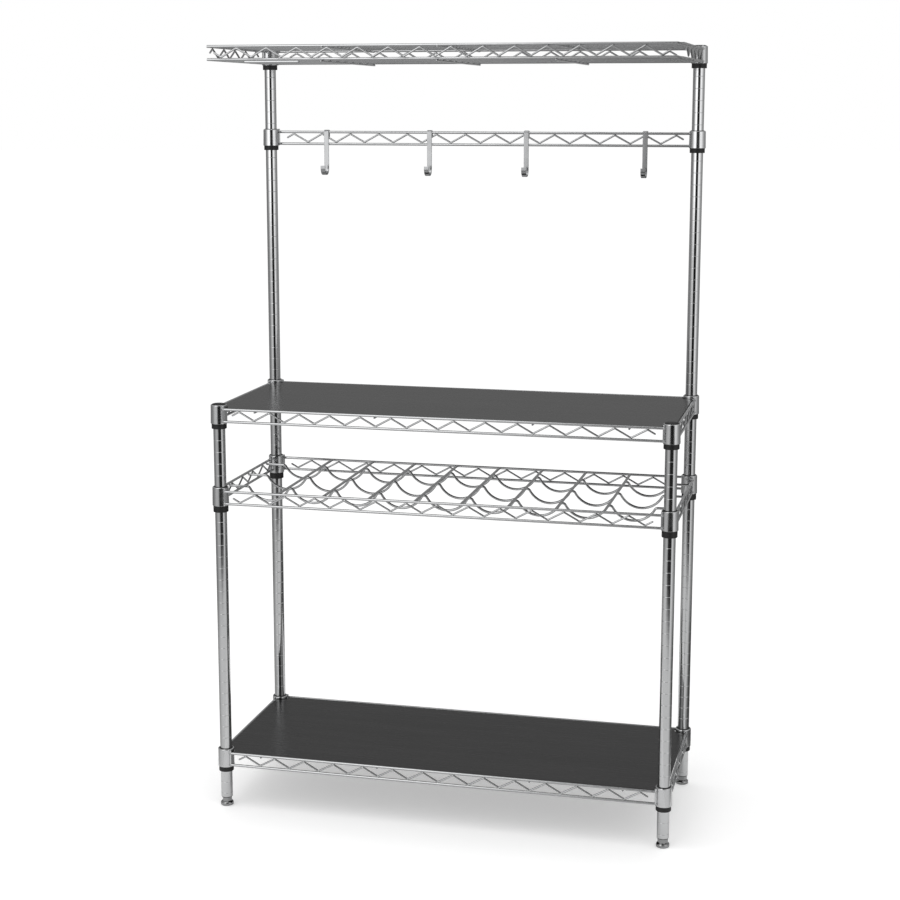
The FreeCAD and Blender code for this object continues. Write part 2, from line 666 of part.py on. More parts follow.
def save_hook_rail():
    """Write the hook rail between the rear posts and its sliding hooks."""
    save("hook_rail_clips", rear_clips(HOOK_RAIL_Z))
    save("hook_rail_sleeves", rear_sleeves(HOOK_RAIL_Z, False))
    save("hook_rail_upper_wire", [long_rail(RAIL_Y, HOOK_RAIL_Z)])
    save("hook_rail_lower_wire", [long_rail(RAIL_Y, HOOK_RAIL_Z - RAIL_GAP_Z)])
    wave = zigzag(RAIL_Y, True, SHELF_ZIGZAG_X, FRONT_PITCH, FRONT_BENDS, True, HOOK_RAIL_Z)
    save("hook_rail_zigzag_wire", [wave])
    for index, x in enumerate(HOOK_X):
        save("hook_" + str(index + 1), [hook(x)])


def main():
    """Write every node of the rack."""
    os.makedirs("parts", exist_ok=True)
    save_posts()
    save_shelf("bottom_shelf", BOTTOM_SHELF_Z, SHELF_CLIP_DROP, SHELF_ZIGZAG_X, SHELF_ZIGZAG_Y, True)
    save_shelf("wine_rack", WINE_RACK_Z, WINE_CLIP_DROP, WINE_ZIGZAG_X, WINE_ZIGZAG_Y, False)
    save_shelf("counter", COUNTER_Z, SHELF_CLIP_DROP, SHELF_ZIGZAG_X, SHELF_ZIGZAG_Y, True)
    save("bottom_shelf_support_wires", support_wires(BOTTOM_SHELF_Z))
    save("counter_support_wires", support_wires(COUNTER_Z))
    save("bottom_board", [board(BOTTOM_SHELF_Z)])
    save("counter_board", [board(COUNTER_Z)])
    save("wine_rack_crest_bars", crest_bars())
    save("wine_rack_front_cup_wire", [cup_wire(CUP_WIRE_FRONT_Y)])
    save("wine_rack_middle_cup_wire", [cup_wire(CUP_WIRE_MIDDLE_Y)])
    save("wine_rack_rear_cup_wire", [cup_wire(CUP_WIRE_REAR_Y)])
    save_top_shelf()
    save_hook_rail()


main()
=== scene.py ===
import logging
import math
from dataclasses import dataclass
from enum import Enum

import bpy
from mathutils import Matrix, Vector


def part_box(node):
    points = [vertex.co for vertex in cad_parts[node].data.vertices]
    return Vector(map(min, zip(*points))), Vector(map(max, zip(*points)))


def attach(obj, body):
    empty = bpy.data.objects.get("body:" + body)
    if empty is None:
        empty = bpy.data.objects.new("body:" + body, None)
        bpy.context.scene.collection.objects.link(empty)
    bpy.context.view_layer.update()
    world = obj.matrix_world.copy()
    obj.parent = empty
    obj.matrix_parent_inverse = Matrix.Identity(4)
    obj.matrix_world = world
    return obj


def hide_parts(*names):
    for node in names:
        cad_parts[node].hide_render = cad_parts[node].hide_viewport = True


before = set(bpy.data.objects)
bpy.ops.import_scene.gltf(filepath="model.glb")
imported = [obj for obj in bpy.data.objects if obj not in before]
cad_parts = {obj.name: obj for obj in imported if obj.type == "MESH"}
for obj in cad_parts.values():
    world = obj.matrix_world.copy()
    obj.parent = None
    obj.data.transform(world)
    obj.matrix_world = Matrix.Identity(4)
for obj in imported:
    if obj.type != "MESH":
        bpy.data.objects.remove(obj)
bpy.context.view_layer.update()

# Looks for a chromed wire bakers rack.
# Metres. X runs to the right, Y to the back and Z up, with the origin on the floor.

log = logging.getLogger("bakers_rack")

MM = 0.001
TAU = 2.0 * math.pi
QUARTER = math.pi / 2
BOTH_SIDES = (-1, 1)
# Radius at which a turned form ends on its own middle line.
ON_AXIS = 0.0001 * MM
# Shrink of the rings that round a cut wire end.
DOME_RINGS = (0.94, 0.75, 0.42)
# Share of an edge's rounding at which its middle ring lies.
SOFT_SHARE = 0.3
# Steps of the rounding along a turned form's upper edge.
RIM_STEPS = 5
# Angle in degrees above which edges stay crisp, unless a piece says otherwise.
SHARP = 38.0

Outline = list[tuple[float, float]]
Colour = tuple[float, float, float]
Tones = tuple[tuple[float, float], ...]
Socket = bpy.types.NodeSocket
Node = bpy.types.Node


class Body(Enum):
    """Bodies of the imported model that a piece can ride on."""

    FRAME = "frame"
    COUNTER_BOARD = "counter_board"
    BOTTOM_BOARD = "bottom_board"


class Axis(Enum):
    """The level direction that a wire or a rail runs along."""

    LONG = "x"
    DEEP = "y"

    def point(self, along: float, aside: float, height: float) -> Vector:
        """Return the point at a distance along this direction and beside it."""
        return Vector((along, aside, height) if self is Axis.LONG else (aside, along, height))


class Slot(Enum):
    """Material slots of the record."""

    POST = "post_chrome"
    WIRE = "wire_chrome"
    SLEEVE = "sleeve_chrome"
    HOOK = "hook_chrome"
    FOOT = "foot_chrome"
    BOARD = "board_laminate"
    CLIP = "clip_plastic"
    CAP = "cap_plastic"
    INSERT = "insert_plastic"


@dataclass(frozen=True)
class Bead:
    """Half sizes of a weld bead in millimetres, and the steps that it is drawn in."""

    along: float
    across: float
    up: float
    sides: int = 8
    rows: int = 4


# ---------------------------------------------------------------- meshes


def rounded_path(corners: list[Vector], bend: float, steps: int) -> list[Vector]:
    """Round the corners of a line of straight runs.

    Args:
        corners: The ends and corners of the runs, in order.
        bend: Radius of the centre line at each corner.
        steps: Number of short runs that stand for each bend.

    Returns:
        The points of the rounded line.
    """
    points = [corners[0].copy()]
    for before, corner, after in zip(corners, corners[1:], corners[2:]):
        back = (before - corner).normalized()
        ahead = (after - corner).normalized()
        half = back.angle(ahead) / 2
        inward = (back + ahead).normalized()
        centre = corner + inward * (bend / math.sin(half))
        start = corner + back * (bend / math.tan(half)) - centre
        turn = math.pi - 2 * half
        axis = start.cross(ahead).normalized()
        for step in range(steps + 1):
            points.append(centre + Matrix.Rotation(turn * step / steps, 3, axis) @ start)
    points.append(corners[-1].copy())
    return points


def rounded_rim(radius: float, top: float, soft: float) -> Outline:
    """Return the rounded upper edge of a turned form, from its side to its top.

    Args:
        radius: Radius of the form's side.
        top: Height of its top.
        soft: Radius of the rounding.

    Returns:
        The points of the edge as (radius, height).
    """
    points = []
    for step in range(RIM_STEPS + 1):
        angle = QUARTER * step / RIM_STEPS
        points.append((radius - soft + soft * math.cos(angle), top - soft + soft * math.sin(angle)))
    return points


def spread(count: int, pitch: float) -> list[float]:
    """Return evenly spaced places about the middle."""
    return [(index - (count - 1) / 2) * pitch for index in range(count)]


class MeshDraft:
    """Vertices and faces gathered from turned and drawn forms."""

    def __init__(self) -> None:
        """Start an empty draft."""
        self.points: list[Vector] = []
        self.faces: list[tuple[int, ...]] = []

    def _ring(self, ring: list[Vector]) -> int:
        """Add a ring of points.

        Args:
            ring: The points.

        Returns:
            The number of the first one.
        """
        first = len(self.points)
        self.points.extend(ring)
        return first

    def _bridge(self, rings: list[int], sides: int) -> None:
        """Join rings of the same size, one to the next, with quads.

        Args:
            rings: Number of each ring's first point.
            sides: Number of points in each ring.
        """
        for first, second in zip(rings, rings[1:]):
            for side in range(sides):
                after = (side + 1) % sides
                self.faces.append((first + side, first + after, second + after, second + side))

    def _close(self, rings: list[int], sides: int) -> None:
        """Close the first and the last ring with a face each."""
        self.faces.append(tuple(rings[0] + side for side in reversed(range(sides))))
        self.faces.append(tuple(rings[-1] + side for side in range(sides)))

    def drawn(self, path: list[Vector], section: Outline, ends: tuple[float, ...], up: Vector) -> None:
        """Draw a closed section along a path.

        Args:
            path: Points of the centre line.
            section: Corners of the section as (sideways, upward) offsets.
            ends: Shrink of the extra rings that round each end, from large to small.
            up: Direction that the section's upward side faces at the start.
        """
        reach = max(abs(value) for corner in section for value in corner)
        start = reach if ends else 0.0
        runs = [(after - before).normalized() for before, after in zip(path, path[1:])]
        joints = [(before + after).normalized() for before, after in zip(runs, runs[1:])]
        head, tail = runs[0], runs[-1]
        domes = [(reach * (1 - math.sqrt(1 - shrink * shrink)), shrink) for shrink in ends]
        stations = [(path[0] + head * sink, head, shrink) for sink, shrink in reversed(domes)]
        stations.append((path[0] + head * start, head, 1.0))
        stations += [(point, tangent, 1.0) for point, tangent in zip(path[1:-1], joints)]
        stations.append((path[-1] - tail * start, tail, 1.0))
        stations += [(path[-1] - tail * sink, tail, shrink) for sink, shrink in domes]
        sideways = head.cross(up).normalized()
        rings = []
        last = head
        for point, tangent, shrink in stations:
            sideways = last.rotation_difference(tangent) @ sideways
            upward = sideways.cross(tangent).normalized()
            last = tangent
            rings.append(self._ring([point + sideways * (a * shrink) + upward * (b * shrink)
                                     for a, b in section]))
        self._bridge(rings, len(section))
        self._close(rings, len(section))

    def wire(self, path: list[Vector], radius: float, sides: int = 14, domed: bool = True) -> None:
        """Draw a round wire along a path.

        Args:
            path: Points of the centre line.
            radius: Radius of the wire.
            sides: Number of sides of the wire.
            domed: Whether the cut ends are rounded over.
        """
        angles = [TAU * side / sides for side in range(sides)]
        section = [(radius * math.cos(angle), radius * math.sin(angle)) for angle in angles]
        upright = abs((path[1] - path[0]).normalized().z) >= 0.9
        up = Vector((0, 1, 0)) if upright else Vector((0, 0, 1))
        self.drawn(path, section, DOME_RINGS if domed else (), up)

    def rod(self, axis: Axis, aside: float, height: float, reach: float, radius: float, sides: int = 14,
            domed: bool = False) -> None:
        """Draw a straight level wire that reaches as far to either side of the middle.

        Args:
            axis: Direction that it runs along.
            aside: Its distance from the middle, across that direction.
            height: Height of its centre line.
            reach: Half its length.
            radius: Its radius.
            sides: Number of its sides.
            domed: Whether the cut ends are rounded over.
        """
        ends = [axis.point(side * reach, aside, height) for side in BOTH_SIDES]
        self.wire(ends, radius, sides, domed)

    def end_beads(self, axis: Axis, aside: float, height: float, reach: float, bead: Bead) -> None:
        """Add a bead at both ends of a level wire."""
        for side in BOTH_SIDES:
            self.bead(axis.point(side * reach, aside, height), axis, bead)

    def bead(self, centre: Vector, axis: Axis, bead: Bead) -> None:
        """Add a small closed weld bead.

        Args:
            centre: Middle of the bead.
            axis: Direction of the wire that it sits on.
            bead: Its sizes.
        """
        size = axis.point(bead.along, bead.across, bead.up) * MM
        low = self._ring([centre - Vector((0, 0, size.z))])
        rings = []
        for row in range(1, bead.rows):
            lift = -QUARTER + math.pi * row / bead.rows
            across = math.cos(lift)
            ring = []
            for side in range(bead.sides):
                angle = TAU * side / bead.sides
                ring.append(centre + Vector((across * math.cos(angle) * size.x,
                                             across * math.sin(angle) * size.y, math.sin(lift) * size.z)))
            rings.append(self._ring(ring))
        high = self._ring([centre + Vector((0, 0, size.z))])
        self._bridge(rings, bead.sides)
        for side in range(bead.sides):
            after = (side + 1) % bead.sides
            self.faces.append((low, rings[0] + after, rings[0] + side))
            self.faces.append((high, rings[-1] + side, rings[-1] + after))

    def turned(self, outline: Outline, centre: Vector, sides: int, start: float = 0.0, sweep: float = TAU,
               solid_axis: bool = False) -> None:
        """Turn an outline about an upright line.

        Args:
            outline: Closed outline as (radius, height), clockwise; open where solid_axis is true.
            centre: Foot of the upright line.
            sides: Number of steps round the line.
            start: Angle at which the form starts.
            sweep: Angle that the form covers; a whole turn closes on itself.
            solid_axis: Whether the outline starts and ends on the line itself.
        """
        whole = sweep >= TAU - 1e-6
        stations = sides if whole else sides + 1
        first = len(self.points)
        count = len(outline)
        for station in range(stations):
            angle = start + sweep * station / sides
            direction = Vector((math.cos(angle), math.sin(angle), 0))
            for radius, height in outline:
                self.points.append(centre + direction * radius + Vector((0, 0, height)))
        for station in range(sides):
            here = first + station * count
            there = first + ((station + 1) % stations) * count
            for span in range(count - 1 if solid_axis else count):
                after = (span + 1) % count
                self.faces.append((here + span, there + span, there + after, here + after))
        if solid_axis:
            self.faces.append(tuple(first + station * count for station in reversed(range(sides))))
            self.faces.append(tuple(first + station * count + count - 1 for station in range(sides)))
        elif not whole:
            end = first + sides * count
            self.faces.append(tuple(first + corner for corner in range(count)))
            self.faces.append(tuple(end + corner for corner in reversed(range(count))))

    def prism(self, outline: Outline, low: float, high: float, edge: float, origin: Vector) -> None:
        """Raise an outline in the level plane to a plate with softened edges.

        Args:
            outline: Corners as (x, y) from the origin, anticlockwise seen from above.
            low: Height of the underside.
            high: Height of the top.
            edge: Size of the rounding along the top and bottom edges.
            origin: Place that the outline is measured from.
        """
        count = len(outline)
        inset = [self._inset(outline, corner, edge) for corner in range(count)]
        soft = [self._inset(outline, corner, edge * SOFT_SHARE) for corner in range(count)]
        layers = [(inset, low), (soft, low + edge * SOFT_SHARE), (outline, low + edge)]
        layers += [(outline, high - edge), (soft, high - edge * SOFT_SHARE), (inset, high)]
        rings = []
        for corners, height in layers:
            rings.append(self._ring([Vector((x + origin.x, y + origin.y, height)) for x, y in corners]))
        self._bridge(rings, count)
        self._close(rings, count)

    @staticmethod
    def _inset(outline: Outline, corner: int, depth: float) -> tuple[float, float]:
        """Return a corner of an outline moved inward by a depth.

        Args:
            outline: The outline, anticlockwise.
            corner: Number of the corner.
            depth: How far its two sides move inward.

        Returns:
            The moved corner.
        """
        here = Vector(outline[corner])
        first = (here - Vector(outline[corner - 1])).normalized()
        second = (Vector(outline[(corner + 1) % len(outline)]) - here).normalized()
        left_first = Vector((-first.y, first.x))
        left_second = Vector((-second.y, second.x))
        inward = (left_first + left_second).normalized()
        moved = here + inward * (depth * (1 / max(0.5, inward.dot(left_first))))
        return moved.x, moved.y

    def build(self, name: str, sharp: float) -> bpy.types.Object:
        """Make the draft into a smooth-shaded object.

        Args:
            name: Name of the object.
            sharp: Edges that turn by more than this many degrees stay crisp.

        Returns:
            The new object.
        """
        mesh = bpy.data.meshes.new(name)
        mesh.from_pydata([tuple(point) for point in self.points], [], self.faces)
        mesh.validate()
        mesh.polygons.foreach_set("use_smooth", [True] * len(mesh.polygons))
        mesh.set_sharp_from_angle(angle=math.radians(sharp))
        mesh.update()
        piece = bpy.data.objects.new(name, mesh)
        bpy.context.scene.collection.objects.link(piece)
        even = piece.modifiers.new("even_shading", "WEIGHTED_NORMAL")
        even.keep_sharp = True
        return piece


# ---------------------------------------------------------------- shader groups


class NodeTree:
    """Short forms for building a shader tree."""

    def __init__(self, tree: bpy.types.NodeTree) -> None:
        """Keep the tree that nodes are added to."""
        self.tree = tree

    def add(self, kind: str, **values: object) -> Node:
        """Add a node and set its properties and inputs.

        Args:
            kind: Blender's name of the node type.
            **values: Properties, or inputs whose spaces are written as underscores.

        Returns:
            The new node.
        """
        node = self.tree.nodes.new(kind)
        for key, value in values.items():
            if hasattr(node, key):
                setattr(node, key, value)
            else:
                node.inputs[key.replace("_", " ")].default_value = value
        return node

    def join(self, node: Node, **sockets: Socket) -> None:
        """Join sockets to a node's inputs, whose spaces are written as underscores."""
        for key, socket in sockets.items():
            self.tree.links.new(socket, node.inputs[key.replace("_", " ")])

    def math(self, operation: str, first: object, second: object = 0.0) -> Socket:
        """Add a math node; each operand is a socket or a number.

        Args:
            operation: Blender's name of the operation.
            first: First operand.
            second: Second operand.

        Returns:
            The socket with the result.
        """
        node = self.add("ShaderNodeMath", operation=operation)
        for place, value in enumerate((first, second)):
            if isinstance(value, Socket):
                self.tree.links.new(value, node.inputs[place])
            else:
                node.inputs[place].default_value = value
        return node.outputs[0]

    def noise(self, place: Socket, **values: float) -> Socket:
        """Add a noise texture.

        Args:
            place: Socket with the place.
            **values: The texture's inputs.

        Returns:
            The socket with the value.
        """
        texture = self.add("ShaderNodeTexNoise", **values)
        self.join(texture, Vector=place)
        return texture.outputs["Fac"]

    def scaled(self, place: Socket, factors: tuple[float, float, float]) -> Socket:
        """Return a place multiplied along each axis.

        Args:
            place: Socket with the place.
            factors: Factors along X, Y and Z.

        Returns:
            The socket with the new place.
        """
        node = self.add("ShaderNodeVectorMath", operation="MULTIPLY")
        node.inputs[1].default_value = factors
        self.tree.links.new(place, node.inputs[0])
        return node.outputs["Vector"]

    def ranged(self, value: Socket, low: float, high: float, ease: str = "LINEAR") -> Socket:
        """Return a value that rises from 0 to 1 between two limits.

        Args:
            value: Socket with the value that is held against the limits.
            low: Lower limit.
            high: Upper limit.
            ease: Blender's name for the shape of the rise.

        Returns:
            The socket with the result.
        """
        node = self.add("ShaderNodeMapRange", interpolation_type=ease, From_Min=low, From_Max=high)
        self.join(node, Value=value)
        return node.outputs["Result"]

    def shade(self, factor: Socket, dark: Colour, light: Colour) -> Socket:
        """Mix two colours by a value.

        Args:
            factor: Socket with the share of the light colour.
            dark: Colour at 0.
            light: Colour at 1.

        Returns:
            The socket with the colour.
        """
        mix = self.add("ShaderNodeMix", data_type="RGBA")
        self.join(mix, Factor=factor)
        for socket in mix.inputs:
            if socket.type == "RGBA":
                socket.default_value = (*(dark if socket.name == "A" else light), 1.0)
        return [socket for socket in mix.outputs if socket.type == "RGBA"][0]


def new_group(name: str, inputs: dict[str, float], outputs: tuple[str, ...]) -> tuple[NodeTree, Node, Node]:
    """Start a shader group that takes a place and numbers and gives values.

    Args:
        name: Name of the group.
        inputs: Names of its number inputs with their defaults.
        outputs: Names of its value outputs.

    Returns:
        The helper that adds nodes to it, its entry and its exit.
    """
    group = bpy.data.node_groups.new(name, "ShaderNodeTree")
    group.interface.new_socket("Place", in_out="INPUT", socket_type="NodeSocketVector")
    for key, value in inputs.items():
        socket = group.interface.new_socket(key, in_out="INPUT", socket_type="NodeSocketFloat")
        socket.default_value = value
    for key in outputs:
        group.interface.new_socket(key, in_out="OUTPUT", socket_type="NodeSocketFloat")
    nodes = NodeTree(group)
    return nodes, nodes.add("NodeGroupInput"), nodes.add("NodeGroupOutput")


def polish_marks_group() -> bpy.types.NodeTree:
    """Make the group for handling marks and plating ripple on bright metal.

    Returns:
        A group with outputs Tone, Roughness and Height.
    """
    inputs = {"Roughness": 0.08, "Smudge": 0.05}
    nodes, entry, leave = new_group("polish_marks", inputs, ("Tone", "Roughness", "Height"))
    place = entry.outputs["Place"]
    smudge = nodes.noise(place, Scale=21.0, Detail=5.0, Roughness=0.62)
    speck = nodes.noise(place, Scale=310.0, Detail=2.0, Roughness=0.5)
    ripple = nodes.noise(place, Scale=64.0, Detail=1.0, Roughness=0.4)
    patch = nodes.ranged(smudge, 0.44, 0.72)
    patches = nodes.math("MULTIPLY", patch, entry.outputs["Smudge"])
    specks = nodes.math("MULTIPLY", speck, nodes.math("MULTIPLY", entry.outputs["Smudge"], 0.35))
    roughness = nodes.math("ADD", entry.outputs["Roughness"], nodes.math("ADD", patches, specks))
    tone = nodes.math("SUBTRACT", 1.0, nodes.math("MULTIPLY", patch, 0.09))
    nodes.join(leave, Tone=tone, Roughness=roughness, Height=ripple)
    return nodes.tree


def board_grain_group() -> bpy.types.NodeTree:
    """Make the group for wood grain that runs along X.

    Returns:
        A group with outputs Tone, Pores and Height.
    """
    nodes, entry, leave = new_group("board_grain", {}, ("Tone", "Pores", "Height"))
    place = entry.outputs["Place"]
    bands = nodes.scaled(place, (1.1, 13.0, 13.0))
    hairs = nodes.scaled(place, (5.0, 210.0, 210.0))
    figure = nodes.noise(bands, Scale=2.3, Detail=7.0, Roughness=0.62, Distortion=0.9)
    pores = nodes.ranged(nodes.noise(hairs, Scale=3.0, Detail=3.0, Roughness=0.7), 0.52, 0.74)
    figure_part = nodes.math("MULTIPLY", nodes.ranged(figure, 0.32, 0.68), 0.72)
    tone = nodes.math("ADD", figure_part, nodes.math("MULTIPLY", pores, 0.28))
    nodes.join(leave, Tone=tone, Pores=pores, Height=nodes.math("SUBTRACT", 1.0, pores))
    return nodes.tree


def moulded_grain_group() -> bpy.types.NodeTree:
    """Make the group for the fine grain of moulded plastic.

    Returns:
        A group with outputs Tone, Roughness and Height.
    """
    nodes, entry, leave = new_group("moulded_grain", {"Roughness": 0.42}, ("Tone", "Roughness", "Height"))
    place = entry.outputs["Place"]
    grain = nodes.noise(place, Scale=900.0, Detail=3.0, Roughness=0.6)
    scuff = nodes.noise(place, Scale=70.0, Detail=4.0, Roughness=0.7)
    spots = nodes.math("MULTIPLY", nodes.math("SUBTRACT", scuff, 0.5), 0.3)
    roughness = nodes.math("ADD", entry.outputs["Roughness"], spots)
    nodes.join(leave, Tone=scuff, Roughness=roughness, Height=grain)
    return nodes.tree


class Groups:
    """The shader groups, each built once."""

    def __init__(self) -> None:
        """Build all the groups."""
        self.polish = polish_marks_group()
        self.grain = board_grain_group()
        self.moulded = moulded_grain_group()


# ---------------------------------------------------------------- finishes


def start_material(name: str) -> tuple[bpy.types.Material, NodeTree, Node]:
    """Start a material with a Principled shader.

    Args:
        name: Name of the material.

    Returns:
        The material, the helper for its nodes and the shader node.
    """
    material = bpy.data.materials.new(name)
    material.use_nodes = True
    return material, NodeTree(material.node_tree), material.node_tree.nodes["Principled BSDF"]


@dataclass(frozen=True)
class Finish:
    """What every finish has: two tones, its roughness and the depth of its relief."""

    dark: Colour
    light: Colour
    roughness: float
    relief: float = 0.0001
    relief_strength: float = 1.0

    def start(self, name: str, group: bpy.types.NodeTree) -> tuple[bpy.types.Material, NodeTree, Node, Node]:
        """Start a material whose colour and relief come from a group.

        Args:
            name: Name of the material.
            group: The shader group.

        Returns:
            The material, the helper for its nodes, its shader and the placed group.
        """
        material, nodes, shader = start_material(name)
        place = nodes.add("ShaderNodeTexCoord")
        marks = nodes.add("ShaderNodeGroup", node_tree=group)
        nodes.join(marks, Place=place.outputs["Object"])
        bump = nodes.add("ShaderNodeBump", Strength=self.relief_strength, Distance=self.relief)
        nodes.join(bump, Height=marks.outputs["Height"])
        colour = nodes.shade(marks.outputs["Tone"], self.dark, self.light)
        nodes.join(shader, Base_Color=colour, Normal=bump.outputs["Normal"])
        return material, nodes, shader, marks


@dataclass(frozen=True)
class BrightMetal(Finish):
    """A plated metal finish."""

    smudge: float = 0.08

    def material(self, name: str, groups: Groups) -> bpy.types.Material:
        """Build the finish.

        Args:
            name: Name of the material.
            groups: The shader groups.

        Returns:
            The material.
        """
        material, nodes, shader, marks = self.start(name, groups.polish)
        marks.inputs["Roughness"].default_value = self.roughness
        marks.inputs["Smudge"].default_value = self.smudge
        nodes.join(shader, Roughness=marks.outputs["Roughness"])
        shader.inputs["Metallic"].default_value = 1.0
        return material


@dataclass(frozen=True)
class BoardLaminate(Finish):
    """A dark wood-grain laminate."""

    relief_strength: float = 0.25
    pore_roughness: float = 0.06
    specular: float = 0.42

    def material(self, name: str, groups: Groups) -> bpy.types.Material:
        """Build the finish.

        Args:
            name: Name of the material.
            groups: The shader groups.

        Returns:
            The material.
        """
        material, nodes, shader, grain = self.start(name, groups.grain)
        pores = nodes.math("MULTIPLY", grain.outputs["Pores"], self.pore_roughness)
        nodes.join(shader, Roughness=nodes.math("ADD", self.roughness, pores))
        shader.inputs["Specular IOR Level"].default_value = self.specular
        return material


@dataclass(frozen=True)
class MouldedPlastic(Finish):
    """A black moulded plastic."""

    relief_strength: float = 0.4

    def material(self, name: str, groups: Groups) -> bpy.types.Material:
        """Build the finish.

        Args:
            name: Name of the material.
            groups: The shader groups.

        Returns:
            The material.
        """
        material, nodes, shader, grain = self.start(name, groups.moulded)
        grain.inputs["Roughness"].default_value = self.roughness
        nodes.join(shader, Roughness=grain.outputs["Roughness"])
        return material


CHROME = ((0.50, 0.505, 0.51), (0.63, 0.635, 0.64))
WIRE_CHROME = ((0.35, 0.355, 0.36), (0.51, 0.515, 0.52))
STRIP_CHROME = ((0.28, 0.285, 0.29), (0.39, 0.395, 0.40))
FOOT_CHROME = ((0.24, 0.242, 0.246), (0.36, 0.362, 0.366))
CHARCOAL = ((0.007, 0.0069, 0.007), (0.018, 0.0173, 0.0176))
BLACK = ((0.003, 0.003, 0.003), (0.007, 0.007, 0.0075))
SOFT_BLACK = ((0.008, 0.008, 0.008), (0.018, 0.018, 0.018))

RECIPES = {
    Slot.POST: BrightMetal(*CHROME, roughness=0.07, smudge=0.07, relief=0.00005),
    Slot.WIRE: BrightMetal(*WIRE_CHROME, roughness=0.08, smudge=0.08, relief=0.00006),
    Slot.SLEEVE: BrightMetal(*CHROME, roughness=0.13, smudge=0.10, relief=0.00008),
    Slot.HOOK: BrightMetal(*STRIP_CHROME, roughness=0.20, smudge=0.08, relief=0.00006),
    Slot.FOOT: BrightMetal(*FOOT_CHROME, roughness=0.10, smudge=0.10, relief=0.00006),
    Slot.BOARD: BoardLaminate(*CHARCOAL, roughness=0.24),
    Slot.CLIP: MouldedPlastic(*BLACK, roughness=0.50),
    Slot.CAP: MouldedPlastic(*BLACK, roughness=0.52),
    Slot.INSERT: MouldedPlastic(*SOFT_BLACK, roughness=0.5),
}


class Workshop:
    """Dresses finished pieces and places them on their bodies."""

    def __init__(self, groups: Groups) -> None:
        """Build the material of every slot."""
        self.materials = {slot: recipe.material(slot.value, groups) for slot, recipe in RECIPES.items()}

    def dress(self, piece: bpy.types.Object, slot: Slot) -> None:
        """Give a piece the material of a slot."""
        piece.data.materials.clear()
        piece.data.materials.append(self.materials[slot])

    def place(self, draft: MeshDraft, node: str, slot: Slot = Slot.WIRE, body: str = Body.FRAME.value,
              sharp: float = SHARP) -> None:
        """Build a piece that stands for one node.

        Args:
            draft: The piece's mesh.
            node: The node that it stands for.
            slot: Its material slot.
            body: Name of the body that it rides on.
            sharp: Angle above which edges stay crisp, in degrees.
        """
        piece = draft.build(node + "_finished", sharp)
        self.dress(piece, slot)
        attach(piece, body)
        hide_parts(node)
        log.info("%s: %d faces", piece.name, len(piece.data.polygons))

    def keep(self, node: str, slot: Slot) -> None:
        """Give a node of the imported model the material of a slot."""
        self.dress(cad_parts[node], slot)
        log.info("%s: kept with a new finish", node)


# ---------------------------------------------------------------- shared sizes and parts


@dataclass(frozen=True)
class Sizes:
    """Sizes shared by all the sub-assemblies, in metres."""

    post_x: float = 480.0 * MM
    post_y: float = 181.0 * MM
    post_radius: float = 12.7 * MM
    groove_pitch: float = 25.4 * MM
    rail_radius: float = 2.8 * MM
    rail_gap: float = 26.3 * MM
    side_rail_outset: float = 8.8 * MM
    long_rail_outset: float = 12.8 * MM
    weld_bar_radius: float = 2.2 * MM
    weld_bar_reach: float = 19.4 * MM
    zigzag_radius: float = 2.0 * MM
    zigzag_bend: float = 4.0 * MM
    weld: float = 0.2 * MM
    overhang: float = 1.0 * MM

    @property
    def rail_x(self) -> float:
        """Distance of the side rails from the middle."""
        return self.post_x + self.side_rail_outset

    @property
    def rail_y(self) -> float:
        """Distance of the front and rear rails from the middle."""
        return self.post_y + self.long_rail_outset

    @property
    def bar_x(self) -> float:
        """Distance from the middle to the weld bars that the long rails butt against."""
        return self.post_x - math.sqrt(self.weld_bar_reach ** 2 - self.long_rail_outset ** 2)

    @property
    def bar_y(self) -> float:
        """Distance from the middle to the weld bars that the side rails butt against."""
        return self.post_y - math.sqrt(self.weld_bar_reach ** 2 - self.side_rail_outset ** 2)

    @property
    def inner_reach(self) -> float:
        """Distance from the middle to the ends of wires welded inside the front and rear rails."""
        return self.rail_y - self.rail_radius + self.weld

    def corners(self) -> list[tuple[int, int, Vector]]:
        """Return each post's signs and the foot of its centre line."""
        return [(sign_x, sign_y, Vector((sign_x * self.post_x, sign_y * self.post_y, 0)))
                for sign_x in BOTH_SIDES for sign_y in BOTH_SIDES]


SIZES = Sizes()

RAIL_BEAD = Bead(3.5, 3.2, 3.3, 12, 8)
ZIGZAG_BEAD = Bead(2.6, 1.5, 0.8)
SUPPORT_BEAD = Bead(2.2, 1.6, 0.8)
CREST_BAR_BEAD = Bead(1.3, 3.3, 3.0, 10, 5)
CUP_WIRE_BEAD = Bead(1.8, 2.4, 0.9)
DECK_END_BEAD = Bead(1.2, 2.0, 1.5)
BEARER_END_BEAD = Bead(1.2, 2.4, 1.8)
BEARER_BEAD = Bead(1.4, 1.6, 0.6)
CROSS_BEAD = Bead(2.2, 1.7, 0.8)

RAIL_SIDES = 16
THIN_SIDES = 12


def middle_height(node: str) -> float:
    """Return the height of the middle of a node's box."""
    low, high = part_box(node)
    return (low.z + high.z) / 2


def add_rail(draft: MeshDraft, axis: Axis, aside: float, height: float) -> None:
    """Add a rail between two weld bars, with weld beads at its ends.

    Args:
        draft: The mesh to add to.
        axis: Direction that it runs along.
        aside: Its distance from the middle, across that direction.
        height: Height of its centre line.
    """
    reach = SIZES.bar_x if axis is Axis.LONG else SIZES.bar_y
    draft.rod(axis, aside, height, reach, SIZES.rail_radius, RAIL_SIDES)
    draft.end_beads(axis, aside, height, reach, RAIL_BEAD)


